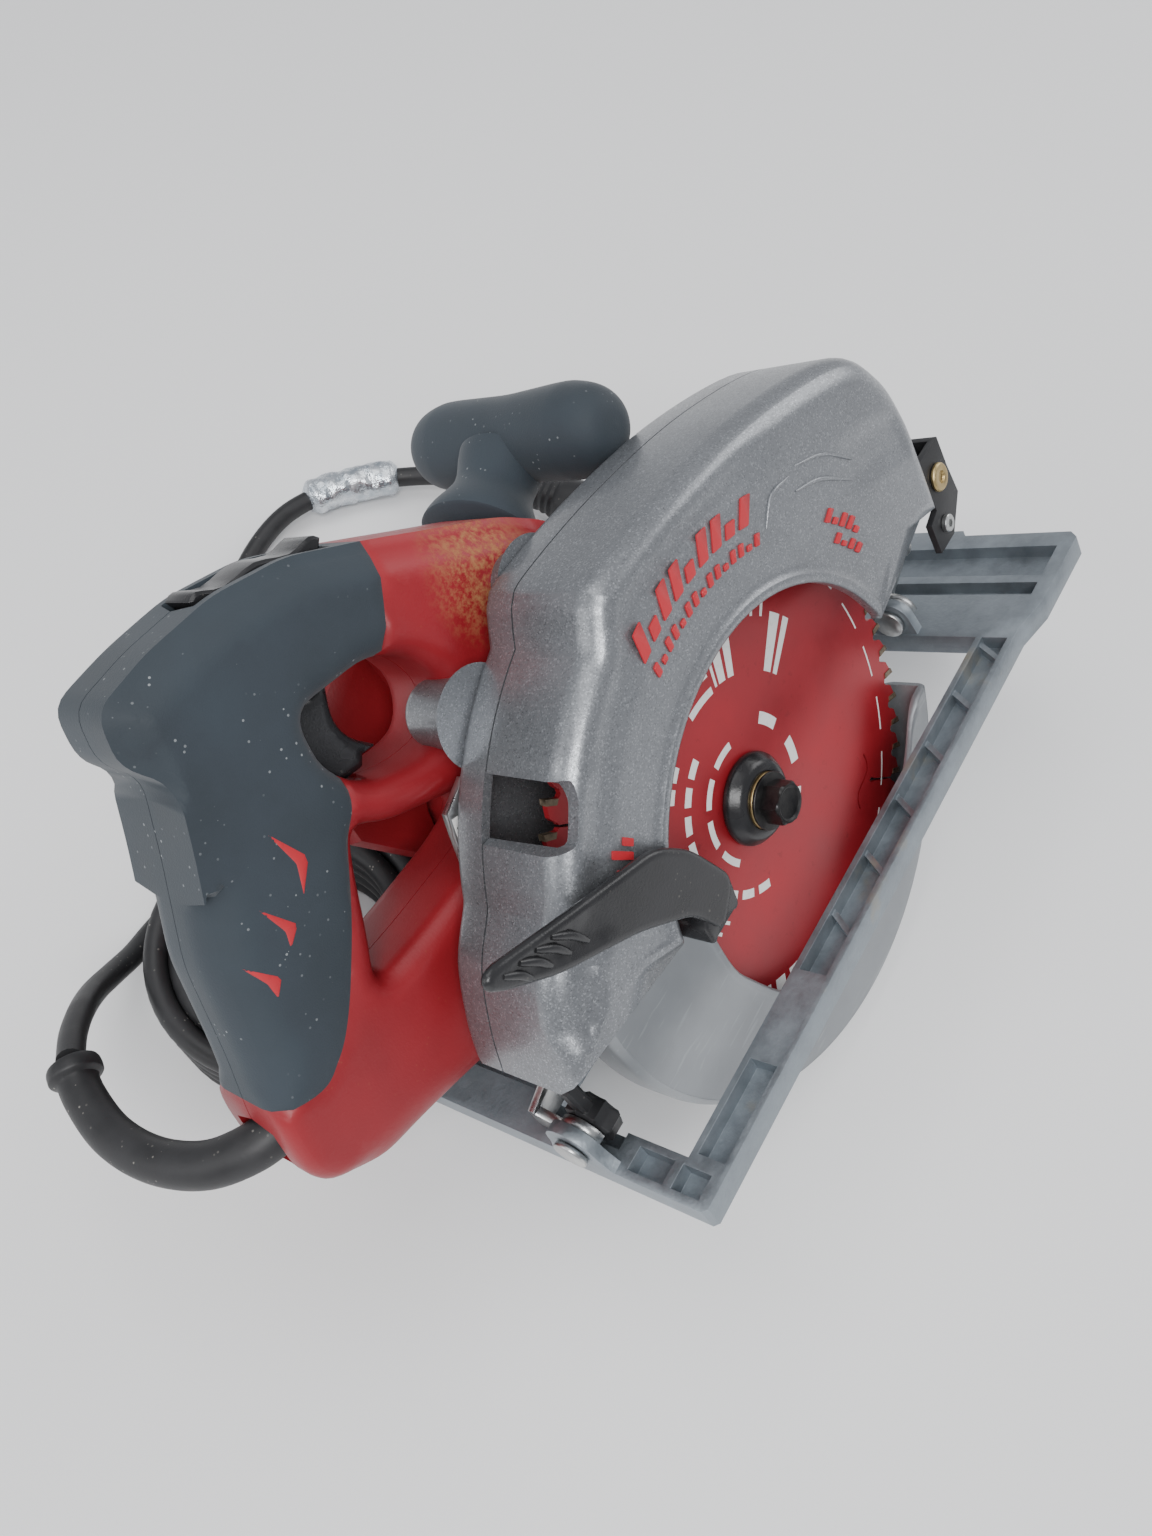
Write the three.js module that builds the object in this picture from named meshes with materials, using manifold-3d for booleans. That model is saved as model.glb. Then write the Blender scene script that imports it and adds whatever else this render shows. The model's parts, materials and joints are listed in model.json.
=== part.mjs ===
// A corded circular saw with its blade on the right-hand side, standing tilted on the rim of
// its lower guard and the left edge of its shoe, with its cord coiled on the floor beside it.
//
// Saw frame, in millimetres: origin at the middle of the blade's bore, +X forwards, +Y to the
// motor side, +Z up from the shoe. The saw frame is turned about X into the resting pose, and
// the whole model is then moved so that its base centre is the origin, with +Z up.
import * as THREE from 'three';
import { mergeVertices } from 'three/addons/utils/BufferGeometryUtils.js';
import Module from 'manifold-3d';

const wasm = await Module();
wasm.setup();

// ---- Driving dimensions (mm) ----
const gap = 0.3; // between pieces that touch
const bladeRadius = 92;
const bladeThickness = 1.8;
const teeth = 60;
const boreRadius = 7.94;
const arborHeight = 33.8; // above the shoe's sole at full depth

const shoeRear = -120.3;
const shoeFront = 159.8;
const shoeRight = -42.1;
const shoeLeft = 96;
const shoeRim = 8.2; // height of the ribs over the sole
const shoeFloor = 3;
const stripWidth = 13.8; // of the bar outside the blade
const windowRear = -107.7;
const windowFront = 103.1;
const windowLeft = 27;
const noseStart = 121.6; // where the shoe's wide nose begins
const noseFlare = 3.4;

const guardRadius = 96.5; // lower guard, outside
const guardWall = 2.4;
const guardOuterFace = -12;
const guardInnerFace = 8.8;
const guardChamfer = 2.5; // where the rim's left chamfer starts, across the saw
const noseRadius = 17; // boss that carries the lower guard

const coverFace = -24;
const seam = 8; // parting line between guard cover and guard housing
const housingFace = 20;
const coverWall = 3;
const rearRimRadius = 106;
const cutoutRadius = 68;
const guardBottom = 17.5; // lower edge of the fixed guard

const gearModule = 1.15;
const caseRadius = 25; // gear case round the arbor
const caseWall = 2;
const gearTeeth = 37;
const pinionTeeth = 9;
const motorBearing = 117.4; // direction from arbor to motor shaft, degrees from +X
const motorRadius = 44.5;
const gearCaseBack = 40;
const lockRadius = 5; // of the spindle lock button
const lockStart = 22;
const lockY = 30;
const housingBack = 110;
const brushY = 104;
const shaftRadius = 5;
const motorEnd = 138;
const housingBackRadius = motorRadius - 5.5;
const motorEndRadius = motorRadius - 16.1;

const handleHalf = 18;
const handleMiddle = housingFace + 7 + handleHalf; // clear of the screws in the housing
const handleWall = 2.6;
const skin = 2.4; // rubber over the handle
const switchLong = 44;
const fingerRoom = 17; // beside the handle, behind the trigger
const barCentre = [47, 66, 112]; // of the front grip's crossbar
const barHalf = 44.5;
const postFoot = [10, 60, 101]; // of the front grip's post

const pivotX = 130; // depth pivot at the front
const pivotZ = -6;
const bevelY = 3.8;
const bevelZ = -19.7;
const pinRadius = 3.2;
const footRadius = 5.2; // of a bracket's foot, on the side that the shoe tilts up to
const armY = [housingFace + 1, housingFace + 3.6];
const armRadius = 214; // of the depth slot, about the depth pivot
const armHalf = 7.5;
const armTopAngle = 158.5;
const slotHalf = 3.1;
const lockAngle = 177.5; // of the depth clamp, about the depth pivot

const cordDiameter = 8.5;
const coilMiddle = 42.5; // coil radius at the middle of its turns
const coilAcross = 2; // strands side by side
const coilHigh = 4; // strands on top of each other

const deg = Math.PI / 180;
const shaftDistance = gearModule * (gearTeeth + pinionTeeth) / 2;
const motorX = shaftDistance * Math.cos(motorBearing * deg);
const motorZ = shaftDistance * Math.sin(motorBearing * deg);
const rest = Math.atan2(guardRadius - arborHeight, shoeLeft - guardChamfer);
const sole = -arborHeight;
const shoeTop = sole + shoeRim;

// ---- Solids ----
const V2 = (x, y) => new THREE.Vector2(x, y);

// A closed three.js geometry as a solid: vertices merged, faces turned outwards.
function solid(geometry) {
  const bare = geometry.clone();
  for (const name of Object.keys(bare.attributes)) {
    if (name !== 'position') bare.deleteAttribute(name);
  }
  const merged = mergeVertices(bare, 1e-4);
  const points = merged.attributes.position;
  const faces = [];
  let volume = 0;
  const [a, b, c] = [new THREE.Vector3(), new THREE.Vector3(), new THREE.Vector3()];
  for (let i = 0; i < merged.index.count; i += 3) {
    const [p, q, r] = [0, 1, 2].map((k) => merged.index.getX(i + k));
    if (p === q || q === r || r === p) continue;
    a.fromBufferAttribute(points, p);
    b.fromBufferAttribute(points, q);
    c.fromBufferAttribute(points, r);
    volume += a.dot(b.cross(c));
    faces.push([p, q, r]);
  }
  const turned = faces.map(([p, q, r]) => (volume < 0 ? [p, r, q] : [p, q, r]));
  const mesh = new wasm.Mesh({
    numProp: 3,
    vertProperties: Float32Array.from(points.array),
    triVerts: Uint32Array.from(turned.flat()),
  });
  return new wasm.Manifold(mesh);
}

function geometryOf(body) {
  const mesh = body.getMesh();
  const geometry = new THREE.BufferGeometry();
  geometry.setAttribute('position', new THREE.BufferAttribute(mesh.vertProperties, 3));
  geometry.setIndex(new THREE.BufferAttribute(mesh.triVerts, 1));
  return geometry;
}

const join = (first, ...others) => others.reduce((sum, other) => sum.add(other), first);
const cut = (first, ...others) => others.reduce((sum, other) => sum.subtract(other), first);

function extruded(outline, depth, bevel, holes) {
  const shape = new THREE.Shape(outline);
  shape.holes = holes.map((points) => new THREE.Path(points));
  return new THREE.ExtrudeGeometry(shape, {
    depth: depth - 2 * bevel,
    curveSegments: 1,
    bevelEnabled: bevel > 0,
    bevelThickness: bevel,
    bevelSize: bevel,
    bevelOffset: -bevel,
    bevelSegments: bevel > 4 ? 2 : 1,
  }).translate(0, 0, bevel);
}

// Outlines given as [x, z] pairs, carried across the saw from y0 to y1.
function acrossY(outline, y0, y1, bevel = 0, holes = []) {
  const geometry = extruded(outline.map(pair), y1 - y0, bevel, holes.map((h) => h.map(pair)));
  return solid(geometry.rotateX(Math.PI / 2).translate(0, y1, 0));
}

// Outlines given as [y, z] pairs, carried forwards from x0 to x1.
function alongX(outline, x0, x1, bevel = 0, holes = []) {
  const turn = new THREE.Matrix4().makeBasis(
    new THREE.Vector3(0, 1, 0), new THREE.Vector3(0, 0, 1), new THREE.Vector3(1, 0, 0));
  const geometry = extruded(outline.map(pair), x1 - x0, bevel, holes.map((h) => h.map(pair)));
  return solid(geometry.applyMatrix4(turn).translate(x0, 0, 0));
}

// Outlines given as [x, y] pairs, carried upwards from z0 to z1.
function alongZ(outline, z0, z1, bevel = 0, holes = []) {
  const geometry = extruded(outline.map(pair), z1 - z0, bevel, holes.map((h) => h.map(pair)));
  return solid(geometry.translate(0, 0, z0));
}

function pair(point) {
  return V2(point[0], point[1]);
}

function block(x0, x1, y0, y1, z0, z1) {
  const box = new THREE.BoxGeometry(x1 - x0, y1 - y0, z1 - z0);
  return solid(box.translate((x0 + x1) / 2, (y0 + y1) / 2, (z0 + z1) / 2));
}

// A turned solid about the Y axis through (x, z): the profile is [radius, y] pairs.
function turned(profile, x = 0, z = 0, segments = 20) {
  const geometry = new THREE.LatheGeometry(profile.map(pair), segments);
  return solid(geometry.translate(x, 0, z));
}

function disc(radius, y0, y1, x = 0, z = 0, segments = 20) {
  return turned([[0, y0], [radius, y0], [radius, y1], [0, y1]], x, z, segments);
}

function ring(inner, outer, y0, y1, x = 0, z = 0, segments = 20) {
  const profile = [[inner, y0], [outer, y0], [outer, y1], [inner, y1], [inner, y0]];
  return turned(profile, x, z, segments);
}

// A round pin along X or Z through a point.
function pinX(radius, x0, x1, y, z, segments = 16) {
  const geometry = new THREE.CylinderGeometry(radius, radius, x1 - x0, segments);
  return solid(geometry.rotateZ(Math.PI / 2).translate((x0 + x1) / 2, y, z));
}

function pinZ(radius, z0, z1, x, y, segments = 16) {
  const geometry = new THREE.CylinderGeometry(radius, radius, z1 - z0, segments);
  return solid(geometry.rotateX(Math.PI / 2).translate(x, y, (z0 + z1) / 2));
}

function arc(radius, from, to, steps, x = 0, z = 0) {
  return Array.from({ length: steps + 1 }, (_, i) => {
    const angle = (from + (to - from) * i / steps) * deg;
    return [x + radius * Math.cos(angle), z + radius * Math.sin(angle)];
  });
}

const circle = (radius, steps, x = 0, z = 0) => arc(radius, 0, 360, steps, x, z).slice(1);

// A point at a radius and angle about (x, z).
function polar(radius, angle, x = 0, z = 0) {
  return [x + radius * Math.cos(angle * deg), z + radius * Math.sin(angle * deg)];
}

// A smooth line through a few chosen points, as pairs.
function smooth(points, steps) {
  const curve = new THREE.SplineCurve(points.map(pair));
  return curve.getPoints(steps).map((p) => [p.x, p.y]);
}

// ---- Scene graph ----
const looks = {
  silver: ['#a9adb1', 0.35, 0.75],
  grey: ['#8f9396', 0.45, 0.6],
  magnesium: ['#8d98a3', 0.5, 0.55],
  red: ['#a32c33', 0.45, 0],
  rubber: ['#3f4a54', 0.8, 0],
  black: ['#17181a', 0.5, 0],
  steel: ['#9a9ca0', 0.3, 1],
  blackSteel: ['#26282b', 0.4, 0.8],
  brass: ['#b99b55', 0.35, 1],
  copper: ['#a5633a', 0.4, 1],
  blade: ['#b8343c', 0.35, 0.3],
  carbon: ['#2b2b2e', 0.7, 0.1],
  tape: ['#c7cdd4', 0.25, 0.8],
};

const model = new THREE.Group();
const saw = new THREE.Group();
saw.rotation.x = -rest;
model.add(saw);

function add(name, look, body, parent = saw, place = [0, 0, 0]) {
  const [color, roughness, metalness] = looks[look];
  const material = new THREE.MeshStandardMaterial({ color, roughness, metalness });
  const mesh = new THREE.Mesh(geometryOf(body), material);
  mesh.name = name;
  mesh.position.set(...place);
  parent.add(mesh);
  return mesh;
}

// ---- Fixed upper guard ----
function guardOutline(grow) {
  const rear = [[-118, guardBottom], [-112.5, 30], [-103, 45]];
  const rim = arc(rearRimRadius, 149, 106, 10);
  const bump = smooth([[-27, 112.5], [16, 111], [59, 105], [101, 92], [119, 72], [121.5, 48],
    [120.5, guardBottom]], 14);
  const outline = [...rear, ...rim, ...bump];
  const middle = [0, 50];
  return outline.map(([x, z]) => {
    const length = Math.hypot(x - middle[0], z - middle[1]);
    const share = (length + grow) / length;
    const across = middle[0] + (x - middle[0]) * share;
    return [across, z === guardBottom ? z : middle[1] + (z - middle[1]) * share];
  });
}

function guardCavity(y0, y1) {
  const inner = guardOutline(-coverWall);
  const below = [[inner.at(-1)[0], guardBottom - 20], [inner[0][0], guardBottom - 20]];
  return acrossY([...inner, ...below], y0, y1);
}

function guardCover() {
  const edge = 9;
  const whole = acrossY(guardOutline(0), coverFace, 2 * seam - coverFace, edge);
  const right = block(-200, 200, coverFace - 1, seam - gap / 2, guardBottom, 200);
  const shell = cut(whole.intersect(right), guardCavity(coverFace + coverWall, seam + 1));
  const opening = disc(cutoutRadius, coverFace - 1, seam, 0, 0, 48);
  const slot = acrossY([[-83, 71], [-82, 88], [-66, 84], [-63, 79], [-72, 68]], coverFace - 1, -15);
  const lip = ring(cutoutRadius, cutoutRadius + 3, coverFace - 1.2, coverFace + 1, 0, 0, 48);
  const lipAbove = lip.intersect(block(-90, 90, coverFace - 2, 0, guardBottom, 90));
  return cut(join(shell, lipAbove), opening, slot);
}

function guardHousing() {
  const plate = housingFace - coverWall;
  const whole = acrossY(guardOutline(0), 2 * seam - housingFace, housingFace, 3);
  const left = block(-200, 200, seam + gap / 2, housingFace + 1, guardBottom, 200);
  const shell = cut(whole.intersect(left), guardCavity(seam - 1, plate));
  const window = acrossY(caseOutline(gap), plate - 1, housingFace + 1);
  const [lockX, lockZ] = lockSpot();
  const lug = acrossY([[lockX - 13, guardBottom + 1], [lockX + 14, guardBottom + 1],
    [lockX + 8, lockZ - 7], [lockX - 9, lockZ - 7]], plate - 4, housingFace);
  return cut(join(shell, handleBosses(0), pivotTongue(), lug), window);
}

// Two bosses of the housing that the handle is screwed to.
function handleBosses(grow) {
  const start = housingFace - coverWall - 2;
  return join(acrossY(circle(10 + grow, 16, -51, 88), start, 41 + grow, 4),
    acrossY(circle(9 + grow, 14, -11, 101), start, 36 + grow, 3));
}

// The gear case goes round the arbor and the motor shaft.
function caseOutline(grow) {
  const tangent = Math.acos((motorRadius - caseRadius) / shaftDistance) / deg;
  const small = arc(caseRadius + grow, motorBearing + tangent, motorBearing - tangent + 360, 22);
  const large = arc(motorRadius + grow, motorBearing - tangent, motorBearing + tangent, 18,
    motorX, motorZ);
  return [...small, ...large];
}

function gearCase() {
  const shell = acrossY(caseOutline(0), plateBack(), gearCaseBack, 0);
  const front = join(shell, disc(noseRadius, guardInnerFace + gap, plateBack() + 1));
  const from = housingFace + 3;
  const roomSmall = disc(caseRadius - caseWall, from, gearCaseBack - caseWall);
  const roomLarge = disc(motorRadius - caseWall, from, gearCaseBack + 1, motorX, motorZ);
  const spindleHole = disc(13.3, guardInnerFace, housingFace + 4);
  const button = pinX(lockRadius + gap, lockStart, lockStart + 30, lockY, motorZ);
  return cut(front, roomSmall, roomLarge, spindleHole, button);
}

function plateBack() {
  return housingFace - coverWall;
}

function coverScrews() {
  const places = [[-55, 66], [18, 88], [84, 60]];
  places.forEach(([x, z], i) => {
    const head = turned([[0, 0], [1.2, 0], [1.2, 1.4], [4.2, 1.4], [4.2, 3.6], [0, 3.6]], 0, 0, 16);
    add(`guard_screw_${i + 1}`, 'blackSteel', head, saw, [x, housingFace + gap, z]);
  });
}

// ---- Blade and spindle ----
function sawBlade() {
  const outline = [];
  const step = 360 / teeth;
  for (let i = 0; i < teeth; i += 1) {
    const corners = [[bladeRadius, 0], [bladeRadius - 5, 0.18], [bladeRadius - 1.6, 0.77]];
    outline.push(...corners.map(([radius, share]) => polar(radius, step * (i + share))));
  }
  return acrossY(outline, -bladeThickness / 2, bladeThickness / 2, 0, [circle(boreRadius, 24)]);
}

function arborBolt() {
  const head = acrossY(circle(7.2, 6), -16.2, -9.2, 0.8);
  const collar = disc(9.4, -9.4, -8.4, 0, 0, 28);
  return join(head, collar, disc(4, -9, 18, 0, 0, 20));
}

// Each tooth has four corners in the order round the wheel: root, tip, tip and root.
function gearWheel(count, y0, y1, bore, phase) {
  const pitch = gearModule * count / 2;
  const root = pitch - 1.15 * gearModule;
  const tip = pitch + 0.75 * gearModule;
  const step = 360 / count;
  const outline = [];
  for (let i = 0; i < count; i += 1) {
    const at = phase + step * i;
    const corners = [[root, -0.27], [tip, -0.1], [tip, 0.1], [root, 0.27]];
    outline.push(...corners.map(([radius, share]) => polar(radius, at + step * share)));
  }
  return acrossY(outline, y0, y1, 0, [circle(bore, 16)]);
}

function addBladeSet() {
  const half = bladeThickness / 2;
  add('saw_blade', 'blade', sawBlade());
  add('outer_flange', 'black', ring(9.8, 15.4, -7.2, -half - gap));
  add('brass_washer', 'brass', cut(disc(9.4, -8.1, -half - gap), disc(4 + gap, -9, 0, 0, 0, 20)));
  add('inner_flange', 'steel', ring(boreRadius + gap, 15.4, half + gap, 5));
  const shaft = join(disc(boreRadius - gap, half + gap - 1.8, 35), disc(11, 5 + gap, 7.6));
  add('spindle', 'steel', cut(shaft, disc(4 + gap, -2, 19, 0, 0, 20)));
  add('arbor_bolt', 'blackSteel', arborBolt());
  add('driven_gear', 'blackSteel', gearWheel(gearTeeth, 25, 33, boreRadius, motorBearing));
  add('spindle_bearing', 'steel', ring(boreRadius, 13, 11, 19.5));
}

// ---- Lower guard ----
function lowerGuard() {
  const inside = guardRadius - guardWall;
  const profile = [[inside, guardOuterFace], [guardRadius - 2, guardOuterFace],
    [guardRadius, guardOuterFace + 3], [guardRadius, guardChamfer],
    [guardRadius - 4.6, guardInnerFace], [inside - 4, guardInnerFace],
    [inside - 4, guardInnerFace - 2], [inside - 1.5, guardInnerFace - 2.6],
    [inside, guardInnerFace - 5], [inside, guardOuterFace]];
  const from = -186;
  const to = -22;
  const wedge = [[0, 0], ...arc(140, from, to, 12)];
  const rim = turned(profile, 0, 0, 60).intersect(acrossY(wedge, -20, 20));
  const innerWedge = [...arc(40, from, to, 10), ...arc(guardRadius - 5, to, from, 18)];
  const inner = join(acrossY(innerWedge, guardInnerFace - 2, guardInnerFace),
    ring(noseRadius + gap, noseRadius + 5, guardInnerFace - 2, guardInnerFace + 4),
    ring(noseRadius + gap, 41, guardInnerFace - 2, guardInnerFace));
  const outer = acrossY([...arc(guardRadius - 2.2, from, to, 22),
    ...smooth([[77, -34], [44, -62], [-4, -73], [-37, -52], [-49, -20], [-48, 2]], 14)],
    guardOuterFace, guardOuterFace + 1.8);
  const ear = acrossY([[-47, -8], [-45, 25], [-57, 26.5], [-62, 21], [-65.5, 10], [-66, -8]],
    guardOuterFace, guardOuterFace + 1.8);
  return join(rim, inner, outer, ear);
}

function guardLever() {
  const blade = acrossY([[-44, 22], [-51, 42], [-59, 53], [-94, 67.5], [-117, 77.5],
    [-120.5, 74], [-117, 70], [-103, 57], [-78, 41], [-62, 27], [-57, 12]], -31.4, -28.4, 1);
  const leg = acrossY([[-47, 12.6], [-44.5, 24], [-57, 25.5], [-61.4, 20], [-62.6, 12.6]],
    -31.4, guardOuterFace - gap);
  const body = join(blade, leg);
  const ribs = [0, 1, 2].map((i) => {
    const at = [-96 - 6.5 * i, 62.5 + 2.6 * i];
    return acrossY([[at[0] - 5, at[1] + 4.5], [at[0] - 3.6, at[1] + 5.4],
      [at[0] + 2.4, at[1] - 4.6], [at[0] + 1, at[1] - 5.4]], -33, -31);
  });
  return join(body, ...ribs);
}

// ---- Motor ----
function addMotor() {
  const at = [motorX, 0, motorZ];
  const meshed = motorBearing + 180 + 180 / pinionTeeth;
  add('pinion_gear', 'steel', gearWheel(pinionTeeth, 24, 34, 3, meshed), saw, at);
  const shaft = disc(shaftRadius, 35, motorEnd - 6, 0, 0, 16);
  add('armature_shaft', 'steel', cut(shaft, disc(2, 34, 35.5)), saw, at);
  add('shaft_bearing_front', 'steel', ring(shaftRadius + gap, 11, 40.5, 47, 0, 0, 16), saw, at);
  add('cooling_fan', 'black', coolingFan(), saw, at);
  add('armature_core', 'copper', ring(shaftRadius + gap, 22, 62, 94, 0, 0, 16), saw, at);
  add('commutator', 'copper', ring(shaftRadius + gap, 12, 97, 111, 0, 0, 16), saw, at);
  add('field_core', 'steel', ring(23.5, motorRadius - 11.5, 60, 96, 0, 0, 16), saw, at);
  add('shaft_bearing_rear', 'steel', ring(shaftRadius + gap, 10, 121, 128, 0, 0, 16), saw, at);
  for (const [name, side] of [['front', 1], ['rear', -1]]) {
    const brush = block(-3, 3, brushY - 4, brushY + 4, 12.6, 23);
    const cap = pinZ(5, 23.5, motorRadius - 3, 0, brushY, 16);
    const spot = new THREE.Group();
    spot.position.set(...at);
    spot.rotation.y = side * 90 * deg;
    saw.add(spot);
    add(`carbon_brush_${name}`, 'carbon', brush, spot);
    add(`brush_cap_${name}`, 'black', cap, spot);
  }
  add('motor_housing', 'red', motorHousing(), saw);
  add('motor_end_cap', 'black', motorEndCap(), saw);
}

function coolingFan() {
  const hub = ring(shaftRadius + gap, 12, 50, 57, 0, 0, 20);
  const tip = motorRadius - 9.5;
  const back = ring(shaftRadius + gap, tip + 1, 50, 51.5, 0, 0, 28);
  const vanes = Array.from({ length: 8 }, (_, i) => {
    const vane = block(8, tip, 51, 57, -0.8, 0.8);
    return vane.rotate([0, 45 * i, 0]);
  });
  return join(hub, back, ...vanes);
}

function motorHousing() {
  const front = gearCaseBack + gap;
  const wall = 3;
  const shell = turned([[motorRadius - wall, front], [motorRadius, front], [motorRadius, 72],
    [housingBackRadius, housingBack], [housingBackRadius - wall, housingBack],
    [motorRadius - wall, 72], [motorRadius - wall, front]], motorX, motorZ, 32);
  const brushHoles = pinX(5 + gap, motorX - 60, motorX + 60, brushY, motorZ, 16);
  const vents = Array.from({ length: 4 }, (_, i) => block(-70, 70, 50, 56, 6 + 8 * i, 9 + 8 * i));
  return cut(shell, brushHoles, ...vents);
}

function motorEndCap() {
  const front = housingBack + gap;
  const outer = housingBackRadius;
  const shell = turned([[outer - 3, front], [outer, front], [outer - 1, 122],
    [motorEndRadius, motorEnd], [0, motorEnd], [0, motorEnd - 3], [motorEndRadius - 3, motorEnd - 3],
    [outer - 5, 120], [outer - 3, front]], motorX, motorZ, 32);
  const seat = ring(10 + gap, 13, 121, motorEnd - 2, motorX, motorZ, 16);
  const vents = Array.from({ length: 5 }, (_, i) => {
    const z = motorZ - 16 + 8 * i;
    return block(motorX - 20, motorX + 20, motorEnd - 4, motorEnd + 1, z - 1.2, z + 1.2);
  });
  const around = ring(13.5, 40, motorEnd - 5, motorEnd + 2, motorX, motorZ, 16);
  return cut(join(shell, seat), ...vents.map((vent) => vent.intersect(around)));
}

// ---- Rear handle ----
const armTop = [[-126, 147], [-121, 160], [-103, 161], [-82, 159.5], [-60, 153], [-38, 140],
  [-15, 125.5], [2, 115]];
const gripBack = [[-152, 12], [-164, 21], [-168.5, 34], [-165, 50], [-157, 68], [-147, 95],
  [-131, 120], [-121, 137]];
const upperHole = [[-86, 124], [-60, 119], [-49, 109], [-46, 95], [-54, 84], [-68, 86],
  [-84, 94.5], [-90, 108]];
const lowerHole = [[-60, 68], [-71, 74], [-86, 82], [-95, 91], [-101, 83], [-111, 66],
  [-119.5, 53], [-100, 51], [-70, 50], [-56, 52]];

function handleOutline() {
  const front = [[14, 104], [16, 90], [12, 76], [0, 60]];
  const below = [[-30, 20], [-50, -2], [-105, -1], [-121, 4], [-137, 8.5]];
  return [...armTop, ...front, ...below, ...gripBack];
}

// An outline moved inwards (or a hole made larger) by the same distance all along.
function inset(points, by) {
  const area = points.reduce((sum, [x, z], i) => {
    const [u, w] = points[(i + 1) % points.length];
    return sum + x * w - u * z;
  }, 0);
  const side = Math.sign(area);
  return points.map((point, i) => {
    const before = points[(i + points.length - 1) % points.length];
    const after = points[(i + 1) % points.length];
    const a = V2(point[0] - before[0], point[1] - before[1]).normalize();
    const b = V2(after[0] - point[0], after[1] - point[1]).normalize();
    const normal = V2(-(a.y + b.y), a.x + b.x).normalize();
    const stretch = by * side / Math.max(0.5, normal.dot(V2(-a.y, a.x)));
    return [point[0] + normal.x * stretch, point[1] + normal.y * stretch];
  });
}

// The whole handle as stepped layers that narrow towards its two sides; less is how much
// smaller it is all round.
function handleBody(less, steps = [[0, 5], [3, 0]]) {
  const layers = steps.map(([narrower, lower]) => {
    const half = handleHalf - less - lower;
    const sides = [handleMiddle - half, handleMiddle + half];
    const slab = acrossY(inset(handleOutline(), less + narrower), ...sides);
    const holes = [upperHole, lowerHole].map((hole) => (
      acrossY(inset(hole, -less - narrower * 0.6), sides[0] - 1, sides[1] + 1)));
    return cut(slab, ...holes);
  });
  return cut(join(...layers), motorRoom(), gearCaseRoom(), handleBosses(gap));
}

function motorRoom() {
  return disc(motorRadius + gap, 0, 120, motorX, motorZ, 32);
}

function gearCaseRoom() {
  return acrossY(caseOutline(gap), 0, gearCaseBack + gap);
}

// The part of the handle that is covered by rubber, as an outline seen from the side.
function rubberZone() {
  const front = [[-36, 150], [-41, 139], [-63, 111], [-80, 110], [-92, 97], [-99, 90],
    [-118, 70], [-132, 57], [-142, 51], [-152, 50], [-172, 62]];
  return [[-200, 180], [-36, 180], ...front, [-200, 60]];
}

function addHandle() {
  const zone = acrossY(rubberZone(), 0, 90);
  const zoneGap = acrossY(inset(rubberZone(), -gap), 0, 90);
  const whole = handleBody(0);
  const core = handleBody(skin + gap);
  const inner = handleBody(skin + gap + handleWall, [[0, 0]]);
  const hollowFor = acrossY([[-150, 40], [-60, 40], [-60, 170], [-150, 170]], 0, 90);
  const rigid = join(cut(whole, zoneGap), core);
  const shell = cut(rigid, inner.intersect(hollowFor), ...handleRooms());
  const rubber = cut(whole.intersect(zone), handleBody(skin), switchRoom(), triggerRoom());
  const right = block(-200, 60, 0, handleMiddle - gap / 2, -60, 200);
  const left = block(-200, 60, handleMiddle + gap / 2, 90, -60, 200);
  add('handle_shell_right', 'red', shell.intersect(right));
  add('handle_shell_left', 'red', shell.intersect(left));
  add('grip_rubber_right', 'rubber', rubber.intersect(right));
  add('grip_rubber_left', 'rubber', rubber.intersect(left));
}

function handleRooms() {
  return [cordExitRoom(), switchRoom(), triggerRoom(), postRoom()];
}

// Room for the trigger through its whole swing.
function triggerRoom() {
  return acrossY([[-98, 126], [-62, 126], [-62, 121], [-66, 93], [-90, 91], [-98, 100]],
    handleMiddle - 8, handleMiddle + 8);
}

function trigger() {
  const face = smooth([[-70, 121], [-75.5, 111], [-75, 103], [-70.5, 95.5]], 8);
  const half = 7;
  return acrossY([...face, [-76, 94], [-88, 97], [-92, 108], [-88, 122], [-78, 124]],
    handleMiddle - half, handleMiddle + half, 1);
}

function switchFrame() {
  return { x: -66, z: 152.6, turn: 18 * deg };
}

function switchRoom() {
  const { x, z, turn } = switchFrame();
  const room = block(-switchLong / 2 - gap, switchLong / 2 + gap, -8 - gap, 8 + gap, -9, 8);
  return room.rotate([0, turn / deg, 0]).translate([x, handleMiddle, z]);
}

function laserSwitch() {
  const half = switchLong / 2 - 1.5;
  const top = smooth([[-half, 1.5], [-half + 3, 3], [-half / 2, 1.2], [0, 3.2], [half / 2, 1.2],
    [half - 3, 3], [half, 1.5]], 18);
  return acrossY([...top, [half - 4, -5], [-half + 4, -5]], -6.6, 6.6, 0.8);
}

// ---- Front handle ----
// Clear room from just below the post's foot upwards.
function postRoom() {
  const [from, to] = postEnds();
  const along = new THREE.Vector3().subVectors(to, from).normalize();
  from.addScaledVector(along, -gap);
  to.addScaledVector(along, 40);
  return placedAlong(new THREE.CylinderGeometry(30, 30, from.distanceTo(to), 20), from, to);
}

function postEnds() {
  const from = new THREE.Vector3(...postFoot);
  const to = new THREE.Vector3(barCentre[0] - 12, barCentre[1], barCentre[2] - 3);
  return [from, to];
}

function frontPost() {
  const [from, to] = postEnds();
  const post = new THREE.CylinderGeometry(13, 19, from.distanceTo(to), 24, 1);
  return placedAlong(post, from, to);
}

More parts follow.
